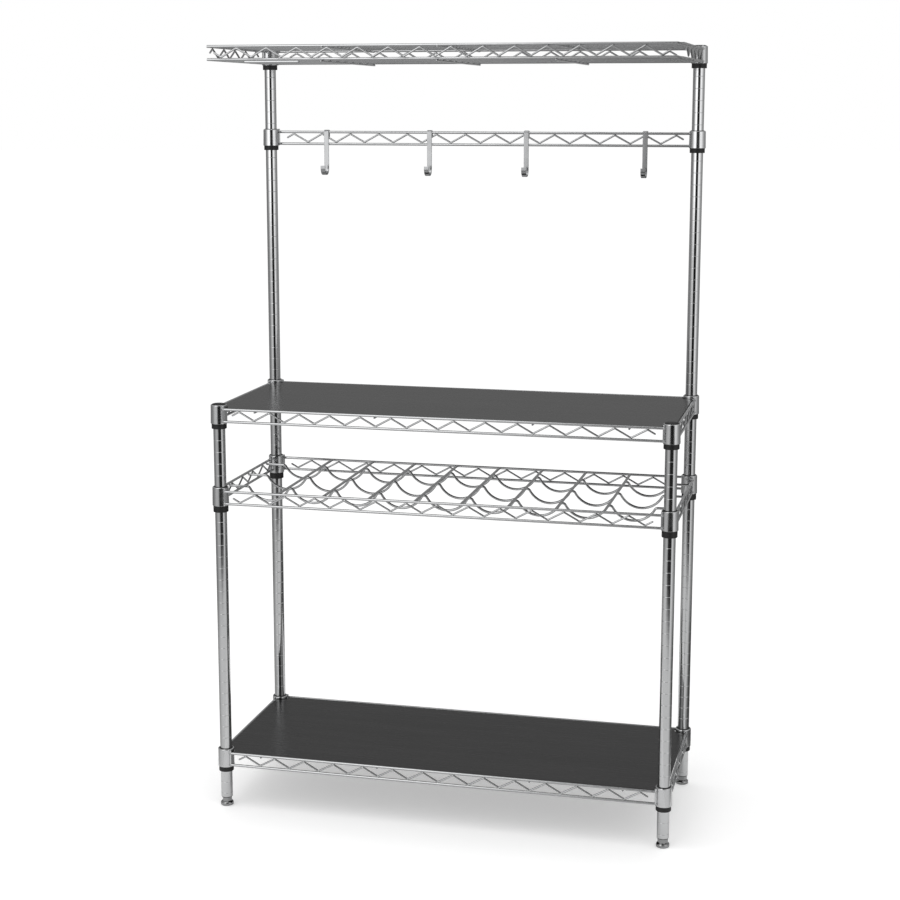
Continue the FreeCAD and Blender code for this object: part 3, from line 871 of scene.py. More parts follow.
@dataclass
class CornerGrip:
    """The sleeve and clip that hold a shelf at one post."""

    rise: float = 8.5 * MM
    drop: float = 32.0 * MM
    clip_drop: float = 43.0 * MM
    top_radius: float = 17.3 * MM
    bottom_radius: float = 17.85 * MM
    bore_top: float = 14.9 * MM
    bore_bottom: float = 15.6 * MM
    top_rounding: float = 1.8 * MM
    bottom_rounding: float = 0.5 * MM
    lower_swell: tuple[float, float] = (-0.12 * MM, 6.0 * MM)
    upper_swell: tuple[float, float] = (0.05 * MM, -9.0 * MM)
    bar_above: float = 4.5 * MM
    bar_below: float = 1.0 * MM
    skirt_radius: float = 16.1 * MM
    skirt_rounding: float = 0.6 * MM
    clip_bore: float = 12.75 * MM
    clip_gap: float = 0.05 * MM
    clip_lip: float = 0.9 * MM
    clip_bevel: float = 0.3 * MM
    half_split: float = 0.5 * MM
    split_radius: float = 14.5 * MM
    sides: int = 64

    def make(self, shop: Workshop, prefix: str, rail_z: float, rear: bool, flanked: bool = True) -> None:
        """Build and dress the sleeves and clips of one shelf.

        Args:
            shop: The workshop.
            prefix: Start of the nodes' names.
            rail_z: Height of the upper rail.
            rear: Whether only the rear posts are gripped.
            flanked: Whether side rails meet the sleeves as well as long ones.
        """
        sleeves, clips = MeshDraft(), MeshDraft()
        for _, sign_y, centre in SIZES.corners():
            if sign_y > 0 or not rear:
                self.sleeve(sleeves, centre, rail_z, flanked)
                self.clip(clips, centre, rail_z)
        shop.place(sleeves, prefix + ("_sleeves" if rear else "_corner_sleeves"), Slot.SLEEVE)
        shop.place(clips, prefix + "_clips", Slot.CLIP)

    def sleeve(self, draft: MeshDraft, centre: Vector, rail_z: float, flanked: bool) -> None:
        """Add a sleeve with its upright weld bars.

        Args:
            draft: The mesh to add to.
            centre: Foot of the post's centre line.
            rail_z: Height of the upper rail.
            flanked: Whether side rails meet the sleeve as well as long ones.
        """
        top = rail_z + self.rise
        bottom = rail_z - self.drop
        small = self.bottom_rounding
        outline = [(self.bore_bottom, bottom)]
        for step in range(5):
            angle = QUARTER * step / 4
            outline.append((self.bottom_radius - small + small * math.sin(angle),
                            bottom + small - small * math.cos(angle)))
        outline.append((self.bottom_radius + self.lower_swell[0], bottom + self.lower_swell[1]))
        outline.append((self.top_radius + self.upper_swell[0], top + self.upper_swell[1]))
        outline += rounded_rim(self.top_radius, top, self.top_rounding)
        outline.append((self.bore_top, top))
        outline.reverse()
        draft.turned(outline, centre, self.sides)
        side_x = math.copysign(1, centre.x)
        side_y = math.copysign(1, centre.y)
        bars = [(side_x * SIZES.bar_x, side_y * SIZES.rail_y)]
        if flanked:
            bars.append((side_x * SIZES.rail_x, side_y * SIZES.bar_y))
        low = rail_z - SIZES.rail_gap - SIZES.rail_radius - self.bar_below
        high = rail_z + SIZES.rail_radius + self.bar_above
        for x, y in bars:
            draft.wire([Vector((x, y, low)), Vector((x, y, high))], SIZES.weld_bar_radius, RAIL_SIDES)

    def clip(self, draft: MeshDraft, centre: Vector, rail_z: float) -> None:
        """Add the two halves of a split clip.

        Args:
            draft: The mesh to add to.
            centre: Foot of the post's centre line.
            rail_z: Height of the upper rail.
        """
        top = rail_z + self.rise
        bottom = rail_z - self.drop - self.clip_gap
        skirt = rail_z - self.clip_drop
        soft = self.skirt_rounding
        radius = self.skirt_radius
        upper = self.bore_top - self.clip_gap
        outline = [(self.clip_bore, skirt), (radius - soft, skirt)]
        outline += [(radius - SOFT_SHARE * soft, skirt + SOFT_SHARE * soft), (radius, skirt + soft)]
        outline += [(radius, bottom), (self.bore_bottom - self.clip_gap, bottom), (upper, top)]
        outline += [(upper, top + self.clip_lip - self.clip_bevel)]
        outline += [(upper - self.clip_bevel, top + self.clip_lip), (self.clip_bore, top + self.clip_lip)]
        outline.reverse()
        lean = math.asin(self.half_split / self.split_radius)
        for half in (0, 1):
            draft.turned(outline, centre, self.sides // 2, math.pi * half + lean, math.pi - 2 * lean)


REAR_GRIP = CornerGrip(rise=6.0 * MM, drop=30.5 * MM, clip_drop=40.5 * MM)


@dataclass
class Zigzag:
    """A bent wire between an upper and a lower rail."""

    axis: Axis
    aside: float
    first: float
    pitch: float
    bends: int
    starts_high: bool
    tail: float = 16.5 * MM
    bend_steps: int = 6

    def draw(self, draft: MeshDraft, rail_z: float) -> None:
        """Add the wire and its weld beads.

        Args:
            draft: The mesh to add to.
            rail_z: Height of the upper rail.
        """
        radius = SIZES.zigzag_radius
        clear = SIZES.rail_radius + radius - SIZES.weld
        high = rail_z - clear
        low = rail_z - SIZES.rail_gap + clear
        slope = math.atan2(high - low, self.pitch / 2)
        past = SIZES.zigzag_bend / math.cos(slope) - SIZES.zigzag_bend
        # Height of each kind of bend's corner and of the weld at it.
        turns = [(high + past, high + radius), (low - past, low - radius)]
        if not self.starts_high:
            turns.reverse()
        bends = [(self.first + index * self.pitch / 2, *turns[index % 2])
                 for index in range(2 * self.bends - 1)]
        middle = (high + low) / 2
        last = self.first + (self.bends - 1) * self.pitch + self.tail
        corners = [self.axis.point(self.first - self.tail, self.aside, middle)]
        corners += [self.axis.point(along, self.aside, corner) for along, corner, _ in bends]
        corners.append(self.axis.point(last, self.aside, middle))
        draft.wire(rounded_path(corners, SIZES.zigzag_bend, self.bend_steps), radius, THIN_SIDES)
        for along, _, weld in bends:
            draft.bead(self.axis.point(along, self.aside, weld), self.axis, ZIGZAG_BEAD)


# ---------------------------------------------------------------- shelves


@dataclass
class WireShelf:
    """A welded shelf frame that grips all four posts."""

    prefix: str
    first_x: float
    first_y: float
    starts_high: bool
    grip: CornerGrip
    pitch_x: float = 66.4 * MM
    pitch_y: float = 66.0 * MM
    bends_x: int = 14
    bends_y: int = 5

    @property
    def rail_z(self) -> float:
        """Height of the upper rails' centre line."""
        return middle_height(self.prefix + "_upper_rails")

    def make(self, shop: Workshop) -> None:
        """Build and dress the frame's pieces.

        Args:
            shop: The workshop.
        """
        self.grip.make(shop, self.prefix, self.rail_z, False)
        shop.place(self.rails(self.rail_z), self.prefix + "_upper_rails")
        shop.place(self.rails(self.rail_z - SIZES.rail_gap), self.prefix + "_lower_rails")
        shop.place(self.zigzags(), self.prefix + "_zigzag_wires")

    def rails(self, height: float) -> MeshDraft:
        """Return the four rails at one height with the beads at their ends.

        Args:
            height: Height of the rails' centre line.

        Returns:
            The draft.
        """
        draft = MeshDraft()
        for side in BOTH_SIDES:
            add_rail(draft, Axis.LONG, side * SIZES.rail_y, height)
            add_rail(draft, Axis.DEEP, side * SIZES.rail_x, height)
        return draft

    def zigzags(self) -> MeshDraft:
        """Return the zigzag wires of the four sides.

        Returns:
            The draft.
        """
        draft = MeshDraft()
        for side in BOTH_SIDES:
            for axis, aside, first, pitch, bends in (
                    (Axis.LONG, SIZES.rail_y, self.first_x, self.pitch_x, self.bends_x),
                    (Axis.DEEP, SIZES.rail_x, self.first_y, self.pitch_y, self.bends_y)):
                Zigzag(axis, side * aside, first, pitch, bends, self.starts_high).draw(draft, self.rail_z)
        return draft


@dataclass
class Board:
    """A loose shelf board with notched corners."""

    body: Body
    notch_radius: float = 19.6 * MM
    edge: float = 0.8 * MM
    sharp: float = 50.0
    notch_steps: int = 12

    def make(self, shop: Workshop) -> None:
        """Build and dress the board.

        Args:
            shop: The workshop.
        """
        node = self.body.value
        low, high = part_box(node)
        draft = MeshDraft()
        draft.prism(self.outline(high.x, high.y), low.z, high.z, self.edge, Vector((0, 0, 0)))
        shop.place(draft, node, Slot.BOARD, node, self.sharp)

    def outline(self, half_x: float, half_y: float) -> Outline:
        """Return the board's outline, anticlockwise.

        Args:
            half_x: Half its length.
            half_y: Half its depth.

        Returns:
            The corners.
        """
        radius = self.notch_radius
        past_x = half_x - SIZES.post_x
        past_y = half_y - SIZES.post_y
        points = []
        for quarter, (sign_x, sign_y) in enumerate(((1, -1), (1, 1), (-1, 1), (-1, -1))):
            end = math.atan2(-sign_y * math.sqrt(radius ** 2 - past_x ** 2), sign_x * past_x)
            front = math.atan2(sign_y * past_y, -sign_x * math.sqrt(radius ** 2 - past_y ** 2))
            start, stop = (front, end) if quarter % 2 == 0 else (end, front)
            turn = (start - stop) % TAU
            for step in range(self.notch_steps + 1):
                angle = start - turn * step / self.notch_steps
                points.append((sign_x * SIZES.post_x + radius * math.cos(angle),
                               sign_y * SIZES.post_y + radius * math.sin(angle)))
        return points


@dataclass
class BoardShelf(WireShelf):
    """A shelf frame with wires that carry a board."""

    support_x: tuple[float, ...] = (-396.0 * MM, -134.0 * MM, 199.0 * MM, 396.0 * MM)
    support_radius: float = 2.0 * MM

    def make(self, shop: Workshop) -> None:
        """Build the frame and its support wires.

        Args:
            shop: The workshop.
        """
        super().make(shop)
        draft = MeshDraft()
        radius = self.support_radius
        height = self.rail_z - SIZES.rail_radius - radius + SIZES.weld
        for x in self.support_x:
            draft.rod(Axis.DEEP, x, height, SIZES.rail_y + SIZES.overhang, radius, domed=True)
            draft.end_beads(Axis.DEEP, x, height + radius, SIZES.rail_y, SUPPORT_BEAD)
        shop.place(draft, self.prefix + "_support_wires")


@dataclass
class WineRack(WireShelf):
    """A shelf frame whose deck cradles bottles."""

    cup_pitch: float = 99.2 * MM
    cups: int = 9
    wire_radius: float = 2.6 * MM
    cup_arc: float = 49.9 * MM
    crest_arc: float = 7.0 * MM
    cup_steps: int = 22
    crest_steps: int = 6

    def make(self, shop: Workshop) -> None:
        """Build the frame, the crest bars and the cup wires.

        Args:
            shop: The workshop.
        """
        super().make(shop)
        shop.place(self.crest_bars(), "wine_rack_crest_bars")
        for place in ("front", "middle", "rear"):
            node = "wine_rack_" + place + "_cup_wire"
            low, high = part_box(node)
            shop.place(self.cup_wire((low.y + high.y) / 2), node)

    def crest_bars(self) -> MeshDraft:
        """Return the straight bars with beads at their ends.

        Returns:
            The draft.
        """
        draft = MeshDraft()
        for x in spread(self.cups - 1, self.cup_pitch):
            draft.rod(Axis.DEEP, x, self.rail_z, SIZES.inner_reach, SIZES.rail_radius, RAIL_SIDES)
            draft.end_beads(Axis.DEEP, x, self.rail_z, SIZES.inner_reach, CREST_BAR_BEAD)
        return draft

    def cup_wire(self, y: float) -> MeshDraft:
        """Return one wavy wire with beads at its crests.

        Args:
            y: Distance of the wire from the middle.

        Returns:
            The draft.
        """
        half = self.cup_pitch / 2
        crest_z = self.rail_z - SIZES.rail_radius - self.wire_radius + SIZES.weld
        crest_centre = crest_z - self.crest_arc
        cup_centre = crest_centre + math.sqrt((self.cup_arc + self.crest_arc) ** 2 - half ** 2)
        lean = math.atan2(half, cup_centre - crest_centre)
        outer = self.cup_pitch * self.cups / 2
        tail = SIZES.rail_x + SIZES.overhang
        path = [Vector((-tail, y, crest_z)), Vector((-outer, y, crest_z))]
        for cup in range(self.cups):
            left = -outer + cup * self.cup_pitch
            for x, z, radius, start, stop, steps in (
                    (left, crest_centre, self.crest_arc, QUARTER, QUARTER - lean, self.crest_steps),
                    (left + half, cup_centre, self.cup_arc, -QUARTER - lean, -QUARTER + lean, self.cup_steps),
                    (left + self.cup_pitch, crest_centre, self.crest_arc, QUARTER + lean, QUARTER,
                     self.crest_steps)):
                for step in range(1, steps + 1):
                    angle = start + (stop - start) * step / steps
                    path.append(Vector((x + radius * math.cos(angle), y, z + radius * math.sin(angle))))
        path.append(Vector((tail, y, crest_z)))
        draft = MeshDraft()
        draft.wire(path, self.wire_radius)
        for index in range(1, self.cups):
            x = -outer + index * self.cup_pitch
            draft.bead(Vector((x, y, crest_z + self.wire_radius)), Axis.LONG, CUP_WIRE_BEAD)
        return draft


@dataclass
class TopShelf:
    """The wire shelf that overhangs the counter from the rear posts."""

    corner_radius: float = 13.0 * MM
    corner_steps: int = 12
    first_x: float = -453.2 * MM
    first_y: float = -150.0 * MM
    pitch_x: float = 64.3 * MM
    pitch_y: float = 66.0 * MM
    front_bends: int = 15
    rear_bends: int = 14
    side_bends: int = 5
    deck_radius: float = 1.5 * MM
    deck_pitch: float = 26.5 * MM
    deck_count: int = 13
    bearer_radius: float = 2.1 * MM
    cross_radius: float = 2.1 * MM
    cross_x: tuple[float, ...] = (-240.0 * MM, 0.0, 240.0 * MM)
    stringer_radius: float = 1.6 * MM
    stringer_pitch: float = 54.0 * MM
    stringer_count: int = 6
    splice_ends: tuple[float, float] = (-405.0 * MM, -286.0 * MM)

    @property
    def rail_z(self) -> float:
        """Height of the upper frame wire."""
        return middle_height("top_shelf_upper_frame")

    @property
    def deck_z(self) -> float:
        """Height of the deck wires, whose tops are level with the frame wire."""
        return self.rail_z + SIZES.rail_radius - self.deck_radius

    @property
    def cross_z(self) -> float:
        """Height of the cross supports."""
        return self.rail_z - SIZES.rail_gap - SIZES.rail_radius - self.cross_radius + SIZES.weld

    def make(self, shop: Workshop) -> None:
        """Build and dress the shelf's pieces.

        Args:
            shop: The workshop.
        """
        REAR_GRIP.make(shop, "top_shelf", self.rail_z, True)
        stringer_z = self.cross_z + self.cross_radius + self.stringer_radius - SIZES.weld
        wires = {
            "upper_frame": self.frame_wire(self.rail_z),
            "lower_frame": self.frame_wire(self.rail_z - SIZES.rail_gap),
            "zigzag_wires": self.zigzags(),
            "deck_wires": self.lengthwise(self.deck_count, self.deck_pitch, self.deck_radius, self.deck_z),
            "deck_bearers": self.deck_bearers(),
            "cross_supports": self.cross_supports(),
            "stringers": self.lengthwise(self.stringer_count, self.stringer_pitch, self.stringer_radius,
                                         stringer_z),
            "splice": self.splice(),
        }
        for name, draft in wires.items():
            shop.place(draft, "top_shelf_" + name)

    def frame_wire(self, height: float) -> MeshDraft:
        """Return the wire bent round the front corners and the rear rail.

        Args:
            height: Height of their centre lines.

        Returns:
            The draft.
        """
        draft = MeshDraft()
        corners = [Vector((x, y, height)) for x, y in (
            (-SIZES.rail_x, SIZES.bar_y), (-SIZES.rail_x, -SIZES.rail_y),
            (SIZES.rail_x, -SIZES.rail_y), (SIZES.rail_x, SIZES.bar_y))]
        path = rounded_path(corners, self.corner_radius, self.corner_steps)
        draft.wire(path, SIZES.rail_radius, RAIL_SIDES, False)
        add_rail(draft, Axis.LONG, SIZES.rail_y, height)
        for side in BOTH_SIDES:
            draft.bead(Vector((side * SIZES.rail_x, SIZES.bar_y, height)), Axis.DEEP, RAIL_BEAD)
        return draft

    def zigzags(self) -> MeshDraft:
        """Return the zigzag wires of the four sides.

        Returns:
            The draft.
        """
        draft = MeshDraft()
        rear_first = self.first_x + self.pitch_x / 2
        wires = [Zigzag(Axis.LONG, -SIZES.rail_y, self.first_x, self.pitch_x, self.front_bends, False),
                 Zigzag(Axis.LONG, SIZES.rail_y, rear_first, self.pitch_x, self.rear_bends, True)]
        for side in BOTH_SIDES:
            aside = side * SIZES.rail_x
            wires.append(Zigzag(Axis.DEEP, aside, self.first_y, self.pitch_y, self.side_bends, True))
        for wire in wires:
            wire.draw(draft, self.rail_z)
        return draft

    def lengthwise(self, count: int, pitch: float, radius: float, height: float) -> MeshDraft:
        """Return evenly spaced wires along X with beads at their ends.

        Args:
            count: Number of wires.
            pitch: Distance from one wire to the next.
            radius: Radius of the wires.
            height: Height of their centre lines.

        Returns:
            The draft.
        """
        draft = MeshDraft()
        reach = SIZES.rail_x - SIZES.rail_radius + SIZES.weld
        for y in spread(count, pitch):
            draft.rod(Axis.LONG, y, height, reach, radius, THIN_SIDES)
            draft.end_beads(Axis.LONG, y, height, reach - SIZES.weld, DECK_END_BEAD)
        return draft

    def deck_bearers(self) -> MeshDraft:
        """Return the front-to-back wires that carry the deck, with beads where they touch.

        Returns:
            The draft.
        """
        draft = MeshDraft()
        height = self.deck_z - self.deck_radius - self.bearer_radius + SIZES.weld
        for x in self.cross_x:
            draft.rod(Axis.DEEP, x, height, SIZES.inner_reach, self.bearer_radius)
            draft.end_beads(Axis.DEEP, x, height, SIZES.inner_reach - SIZES.weld, BEARER_END_BEAD)
            for y in spread(self.deck_count, self.deck_pitch):
                draft.bead(Vector((x, y, height + self.bearer_radius)), Axis.DEEP, BEARER_BEAD)
        return draft

    def cross_supports(self) -> MeshDraft:
        """Return the three front-to-back supports.

        Returns:
            The draft.
        """
        draft = MeshDraft()
        for x in self.cross_x:
            reach = SIZES.rail_y + SIZES.rail_radius
            draft.rod(Axis.DEEP, x, self.cross_z, reach, self.cross_radius, domed=True)
            draft.end_beads(Axis.DEEP, x, self.cross_z + self.cross_radius, SIZES.rail_y, CROSS_BEAD)
        return draft

    def splice(self) -> MeshDraft:
        """Return the short wire under the front of the lower frame wire.

        Returns:
            The draft.
        """
        draft = MeshDraft()
        height = self.rail_z - SIZES.rail_gap - 2 * SIZES.rail_radius + SIZES.weld
        ends = [Vector((x, -SIZES.rail_y, height)) for x in self.splice_ends]
        draft.wire(ends, SIZES.rail_radius, RAIL_SIDES)
        return draft


@dataclass
class HookRail:
    """The rail between the rear posts and the loose hooks on it."""

    zigzag_first: float = -430.0 * MM
    zigzag_pitch: float = 66.4 * MM
    zigzag_bends: int = 14
    hooks: int = 4
    hook_width: float = 11.0 * MM
    hook_thickness: float = 2.0 * MM
    hook_corner: float = 0.6 * MM
    clearance: float = 0.3 * MM
    rear_leg: float = 11.0 * MM
    drop: float = 80.0 * MM
    bend_radius: float = 14.0 * MM
    tip_rise: float = 6.0 * MM
    over_steps: int = 16
    under_steps: int = 24

    @property
    def rail_z(self) -> float:
        """Height of the upper wire."""
        return middle_height("hook_rail_upper_wire")

    def make(self, shop: Workshop) -> None:
        """Build and dress the rail and its hooks.

        Args:
            shop: The workshop.
        """
        REAR_GRIP.make(shop, "hook_rail", self.rail_z, True, False)
        for name, height in (("upper_wire", self.rail_z), ("lower_wire", self.rail_z - SIZES.rail_gap)):
            draft = MeshDraft()
            add_rail(draft, Axis.LONG, SIZES.rail_y, height)
            shop.place(draft, "hook_rail_" + name)
        draft = MeshDraft()
        zigzag = Zigzag(Axis.LONG, SIZES.rail_y, self.zigzag_first, self.zigzag_pitch, self.zigzag_bends, True)
        zigzag.draw(draft, self.rail_z)
        shop.place(draft, "hook_rail_zigzag_wire")
        for number in range(1, self.hooks + 1):
            node = "hook_" + str(number)
            low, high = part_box(node)
            shop.place(self.hook((low.x + high.x) / 2), node, Slot.HOOK, node)

    def hook(self, x: float) -> MeshDraft:
        """Return a flat strip bent over the rail and up into a J.

        Args:
            x: Place along the rail.

        Returns:
            The draft.
        """
        middle = SIZES.rail_radius + self.clearance + self.hook_thickness / 2
        strap_y = SIZES.rail_y - middle
        bend_z = self.rail_z - self.drop
        path = [Vector((x, SIZES.rail_y + middle, self.rail_z - self.rear_leg))]
        for step in range(self.over_steps + 1):
            angle = math.pi * step / self.over_steps
            path.append(Vector((x, SIZES.rail_y + middle * math.cos(angle),
                                self.rail_z + middle * math.sin(angle))))
        for step in range(self.under_steps + 1):
            angle = math.pi * step / self.under_steps
            path.append(Vector((x, strap_y - self.bend_radius + self.bend_radius * math.cos(angle),
                                bend_z - self.bend_radius * math.sin(angle))))
        path.append(Vector((x, strap_y - 2 * self.bend_radius, bend_z + self.tip_rise)))
        draft = MeshDraft()
        draft.drawn(path, self.section(), (), Vector((0, 1, 0)))
        return draft

    def section(self) -> Outline:
        """Return the strip's section with rounded corners.

        Returns:
            The corners as (sideways, upward) offsets.
        """
        corner = self.hook_corner
        half_width = self.hook_width / 2 - corner
        half_thick = self.hook_thickness / 2 - corner
        points = []
        for quarter, (sign_a, sign_b) in enumerate(((1, 1), (-1, 1), (-1, -1), (1, -1))):
            for step in range(4):
                angle = QUARTER * (quarter + step / 3)
                points.append((sign_a * half_width + corner * math.cos(angle),
                               sign_b * half_thick + corner * math.sin(angle)))
        return points


@dataclass
class Posts:
    """The four posts with their caps, inserts and feet."""

    bore: float = 11.5 * MM
    edge: float = 0.4 * MM
    groove_depth: float = 0.22 * MM
    groove_width: float = 1.1 * MM
    groove_shoulder: float = 1.4
    first_groove: float = 29.3 * MM
    cap_height: float = 2.6 * MM
    cap_rounding: float = 1.2 * MM
    plug_depth: float = 12.0 * MM
    glide_radius: float = 14.2 * MM
    glide_rim: float = 4.8 * MM
    glide_height: float = 9.5 * MM
    glide_bevels: tuple[tuple[float, float], ...] = ((-1.4 * MM, 0.0), (-0.5 * MM, 0.4 * MM), (0.0, 1.4 * MM))
    dome_width: float = 6.0 * MM
    nut_flats: float = 19.0 * MM
    nut_span: tuple[float, float] = (7.5 * MM, 18.5 * MM)
    nut_edge: float = 0.7 * MM
    stem_radius: float = 5.0 * MM
    stem_span: tuple[float, float] = (16.0 * MM, 62.0 * MM)
    stem_bevel: float = 1.0 * MM
    foot_sharp: float = 32.0
    sides: int = 56
    cap_sides: int = 48
    stem_sides: int = 24

    def make(self, shop: Workshop) -> None:
        """Build and dress the posts, caps, inserts and feet.

        Args:
            shop: The workshop.
        """
        caps = MeshDraft()
        for sign_x, sign_y, centre in SIZES.corners():
            name = ("front" if sign_y < 0 else "rear") + ("_left" if sign_x < 0 else "_right")
            low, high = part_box(name + "_post")
            post, foot = MeshDraft(), MeshDraft()
            post.turned(self.outline(low.z, high.z), centre, self.sides)
            shop.place(post, name + "_post", Slot.POST)
            self.foot(foot, centre)
            shop.place(foot, name + "_foot", Slot.FOOT, name + "_foot", self.foot_sharp)
            self.cap(caps, centre, high.z)
        shop.place(caps, "post_caps", Slot.CAP)
        shop.keep("foot_inserts", Slot.INSERT)

    def outline(self, bottom: float, top: float) -> Outline:
        """Return the tube's outline with a rounded groove at every inch.

        Args:
            bottom: Height of its lower end.
            top: Height of its upper end.

        Returns:
            The outline as (radius, height), clockwise.
        """
        radius = SIZES.post_radius
        half = self.groove_width / 2
        shoulder = self.groove_shoulder * half
        points = [(self.bore, top), (self.bore, bottom)]
        points += [(radius - self.edge, bottom), (radius, bottom + self.edge)]
        groove = self.first_groove
        while groove < top - 2 * half:
            points.append((radius, groove - shoulder))
            for step in range(9):
                share = -1 + step / 4
                depth = self.groove_depth * (0.5 + 0.5 * math.cos(math.pi * share))
                points.append((radius - depth, groove + share * half))
            points.append((radius, groove + shoulder))
            groove += SIZES.groove_pitch
        points += [(radius, top - self.edge), (radius - self.edge, top)]
        points.reverse()
        return points

    def cap(self, draft: MeshDraft, centre: Vector, top: float) -> None:
        """Add a cap whose plug fills a post's end.

        Args:
            draft: The mesh to add to.
            centre: Foot of the post's centre line.
            top: Height of the post's end.
        """
        outline = [(ON_AXIS, top - self.plug_depth), (self.bore, top - self.plug_depth), (self.bore, top)]
        outline.append((SIZES.post_radius, top))
        outline += rounded_rim(SIZES.post_radius, top + self.cap_height, self.cap_rounding)
        outline.append((ON_AXIS, top + self.cap_height))
        outline.reverse()
        draft.turned(outline, centre, self.cap_sides, solid_axis=True)

    def foot(self, draft: MeshDraft, centre: Vector) -> None:
        """Add a levelling foot: domed glide, hexagonal neck and stem.

        Args:
            draft: The mesh to add to.
            centre: Foot of the post's centre line.
        """
        outline = [(ON_AXIS, 0.0)]
        outline += [(self.glide_radius + offset, height) for offset, height in self.glide_bevels]
        outline.append((self.glide_radius, self.glide_rim))
        for step in range(1, 7):
            angle = QUARTER * step / 6
            outline.append((self.glide_radius - self.dome_width + self.dome_width * math.cos(angle),
                            self.glide_rim + (self.glide_height - self.glide_rim) * math.sin(angle)))
        outline.append((ON_AXIS, self.glide_height))
        outline.reverse()
        draft.turned(outline, centre, self.sides, solid_axis=True)
        across = self.nut_flats / math.sqrt(3)
        angles = [TAU * corner / 6 for corner in range(6)]
        hexagon = [(across * math.cos(angle), across * math.sin(angle)) for angle in angles]
        draft.prism(hexagon, *self.nut_span, self.nut_edge, centre)
        low, high = self.stem_span
        tip = high + self.stem_bevel
        stem = [(ON_AXIS, low), (self.stem_radius, low), (self.stem_radius, high)]
        stem += [(self.stem_radius - self.stem_bevel, tip), (ON_AXIS, tip)]
        stem.reverse()
        draft.turned(stem, centre, self.stem_sides, solid_axis=True)


# ---------------------------------------------------------------- studio


@dataclass(frozen=True)
class Studio:
    """Floor, surroundings, lamp and camera."""

    floor_radius: float = 60.0
    floor_depth: float = -0.4 * MM
    floor_sides: int = 64
    floor_albedo: float = 0.80
    floor_grain: float = 0.01
    camera_glow: float = 0.39
    mirror_glow: float = 0.10
    light_from_world: float = 0.8
    lamp_place: tuple[float, float, float] = (-0.7, -1.2, 3.9)
    lamp_aim: tuple[float, float, float] = (0.0, 0.0, 0.8)
    lamp_size: float = 3.0
    lamp_power: float = 34.0
    lens: float = 71.14
    rise: float = -0.04
    yaw: float = 13.632
    pitch: float = 9.824
    roll: float = 0.05
    stand: tuple[float, float, float] = (0.8725, -3.6783, 1.5162)

    def make(self) -> None:
        """Build the studio."""
        self.floor()
        self.world()
        Surround(self.yaw).make()
        self.lamp()
        self.camera()

    def floor(self) -> None:
        """Add a pale floor that keeps the rack's shadow."""
        draft = MeshDraft()
        draft.points.append(Vector((0, 0, self.floor_depth)))
        for side in range(self.floor_sides):
            angle = TAU * side / self.floor_sides
            draft.points.append(Vector((self.floor_radius * math.cos(angle),
                                        self.floor_radius * math.sin(angle), self.floor_depth)))
            draft.faces.append((0, 1 + side, 1 + (side + 1) % self.floor_sides))
        floor = draft.build("studio_floor", SHARP)
        material, nodes, shader = start_material("studio_floor")
        shader.inputs["Roughness"].default_value = 0.9
        shader.inputs["Specular IOR Level"].default_value = 0.0
        shader.inputs["Emission Color"].default_value = (1.0, 1.0, 1.0, 1.0)
        grain = nodes.noise(nodes.add("ShaderNodeTexCoord").outputs["Object"], Scale=40.0, Detail=2.0)
        tone = nodes.shade(grain, (self.floor_albedo - self.floor_grain,) * 3,
                           (self.floor_albedo + self.floor_grain,) * 3)
        ray = nodes.add("ShaderNodeLightPath").outputs
        seen = nodes.math("MULTIPLY", ray["Is Camera Ray"], self.camera_glow)
        mirrored = nodes.math("MAXIMUM", ray["Is Glossy Ray"], ray["Is Transmission Ray"])
        glow = nodes.math("ADD", seen, nodes.math("MULTIPLY", mirrored, self.mirror_glow))
        nodes.join(shader, Base_Color=tone, Emission_Strength=glow)
        floor.data.materials.append(material)

    def world(self) -> None:
        """Make surroundings that are seen as white and light the rack a little less."""
        world = bpy.data.worlds.new("studio")
        bpy.context.scene.world = world
        world.use_nodes = True
        nodes = NodeTree(world.node_tree)
        back = world.node_tree.nodes["Background"]
        back.inputs["Color"].default_value = (1.0, 1.0, 1.0, 1.0)
        ray = nodes.add("ShaderNodeLightPath").outputs
        seen = nodes.math("MAXIMUM", ray["Is Camera Ray"], ray["Is Glossy Ray"])
        seen = nodes.math("MAXIMUM", seen, ray["Is Transmission Ray"])
        rest = nodes.math("MULTIPLY", seen, 1.0 - self.light_from_world)
        nodes.join(back, Strength=nodes.math("ADD", self.light_from_world, rest))

    def lamp(self) -> None:
        """Add one large square lamp that faces the rack."""
        data = bpy.data.lights.new("key_lamp", "AREA")
        data.shape = "SQUARE"
        data.size = self.lamp_size
        data.energy = self.lamp_power
        lamp = bpy.data.objects.new("key_lamp", data)
        lamp.location = self.lamp_place
        aim = Vector(self.lamp_aim) - Vector(self.lamp_place)
        lamp.rotation_mode = "QUATERNION"
        lamp.rotation_quaternion = aim.to_track_quat("-Z", "Y")
        bpy.context.scene.collection.objects.link(lamp)

    def camera(self) -> None:
        """Add the camera."""
        data = bpy.data.cameras.new("camera")
        data.sensor_width = 36.0
        data.lens = self.lens
        data.shift_y = self.rise
        data.clip_end = 200.0
        camera = bpy.data.objects.new("camera", data)
        yaw = math.radians(self.yaw)
        pitch = math.radians(self.pitch)
        ahead = Vector((-math.sin(yaw) * math.cos(pitch), math.cos(yaw) * math.cos(pitch), -math.sin(pitch)))
        roll = Matrix.Rotation(math.radians(self.roll), 3, "Z").to_quaternion()
        camera.location = Vector(self.stand)
        camera.rotation_mode = "QUATERNION"
        camera.rotation_quaternion = ahead.to_track_quat("-Z", "Y") @ roll
        bpy.context.scene.collection.objects.link(camera)
        bpy.context.scene.camera = camera


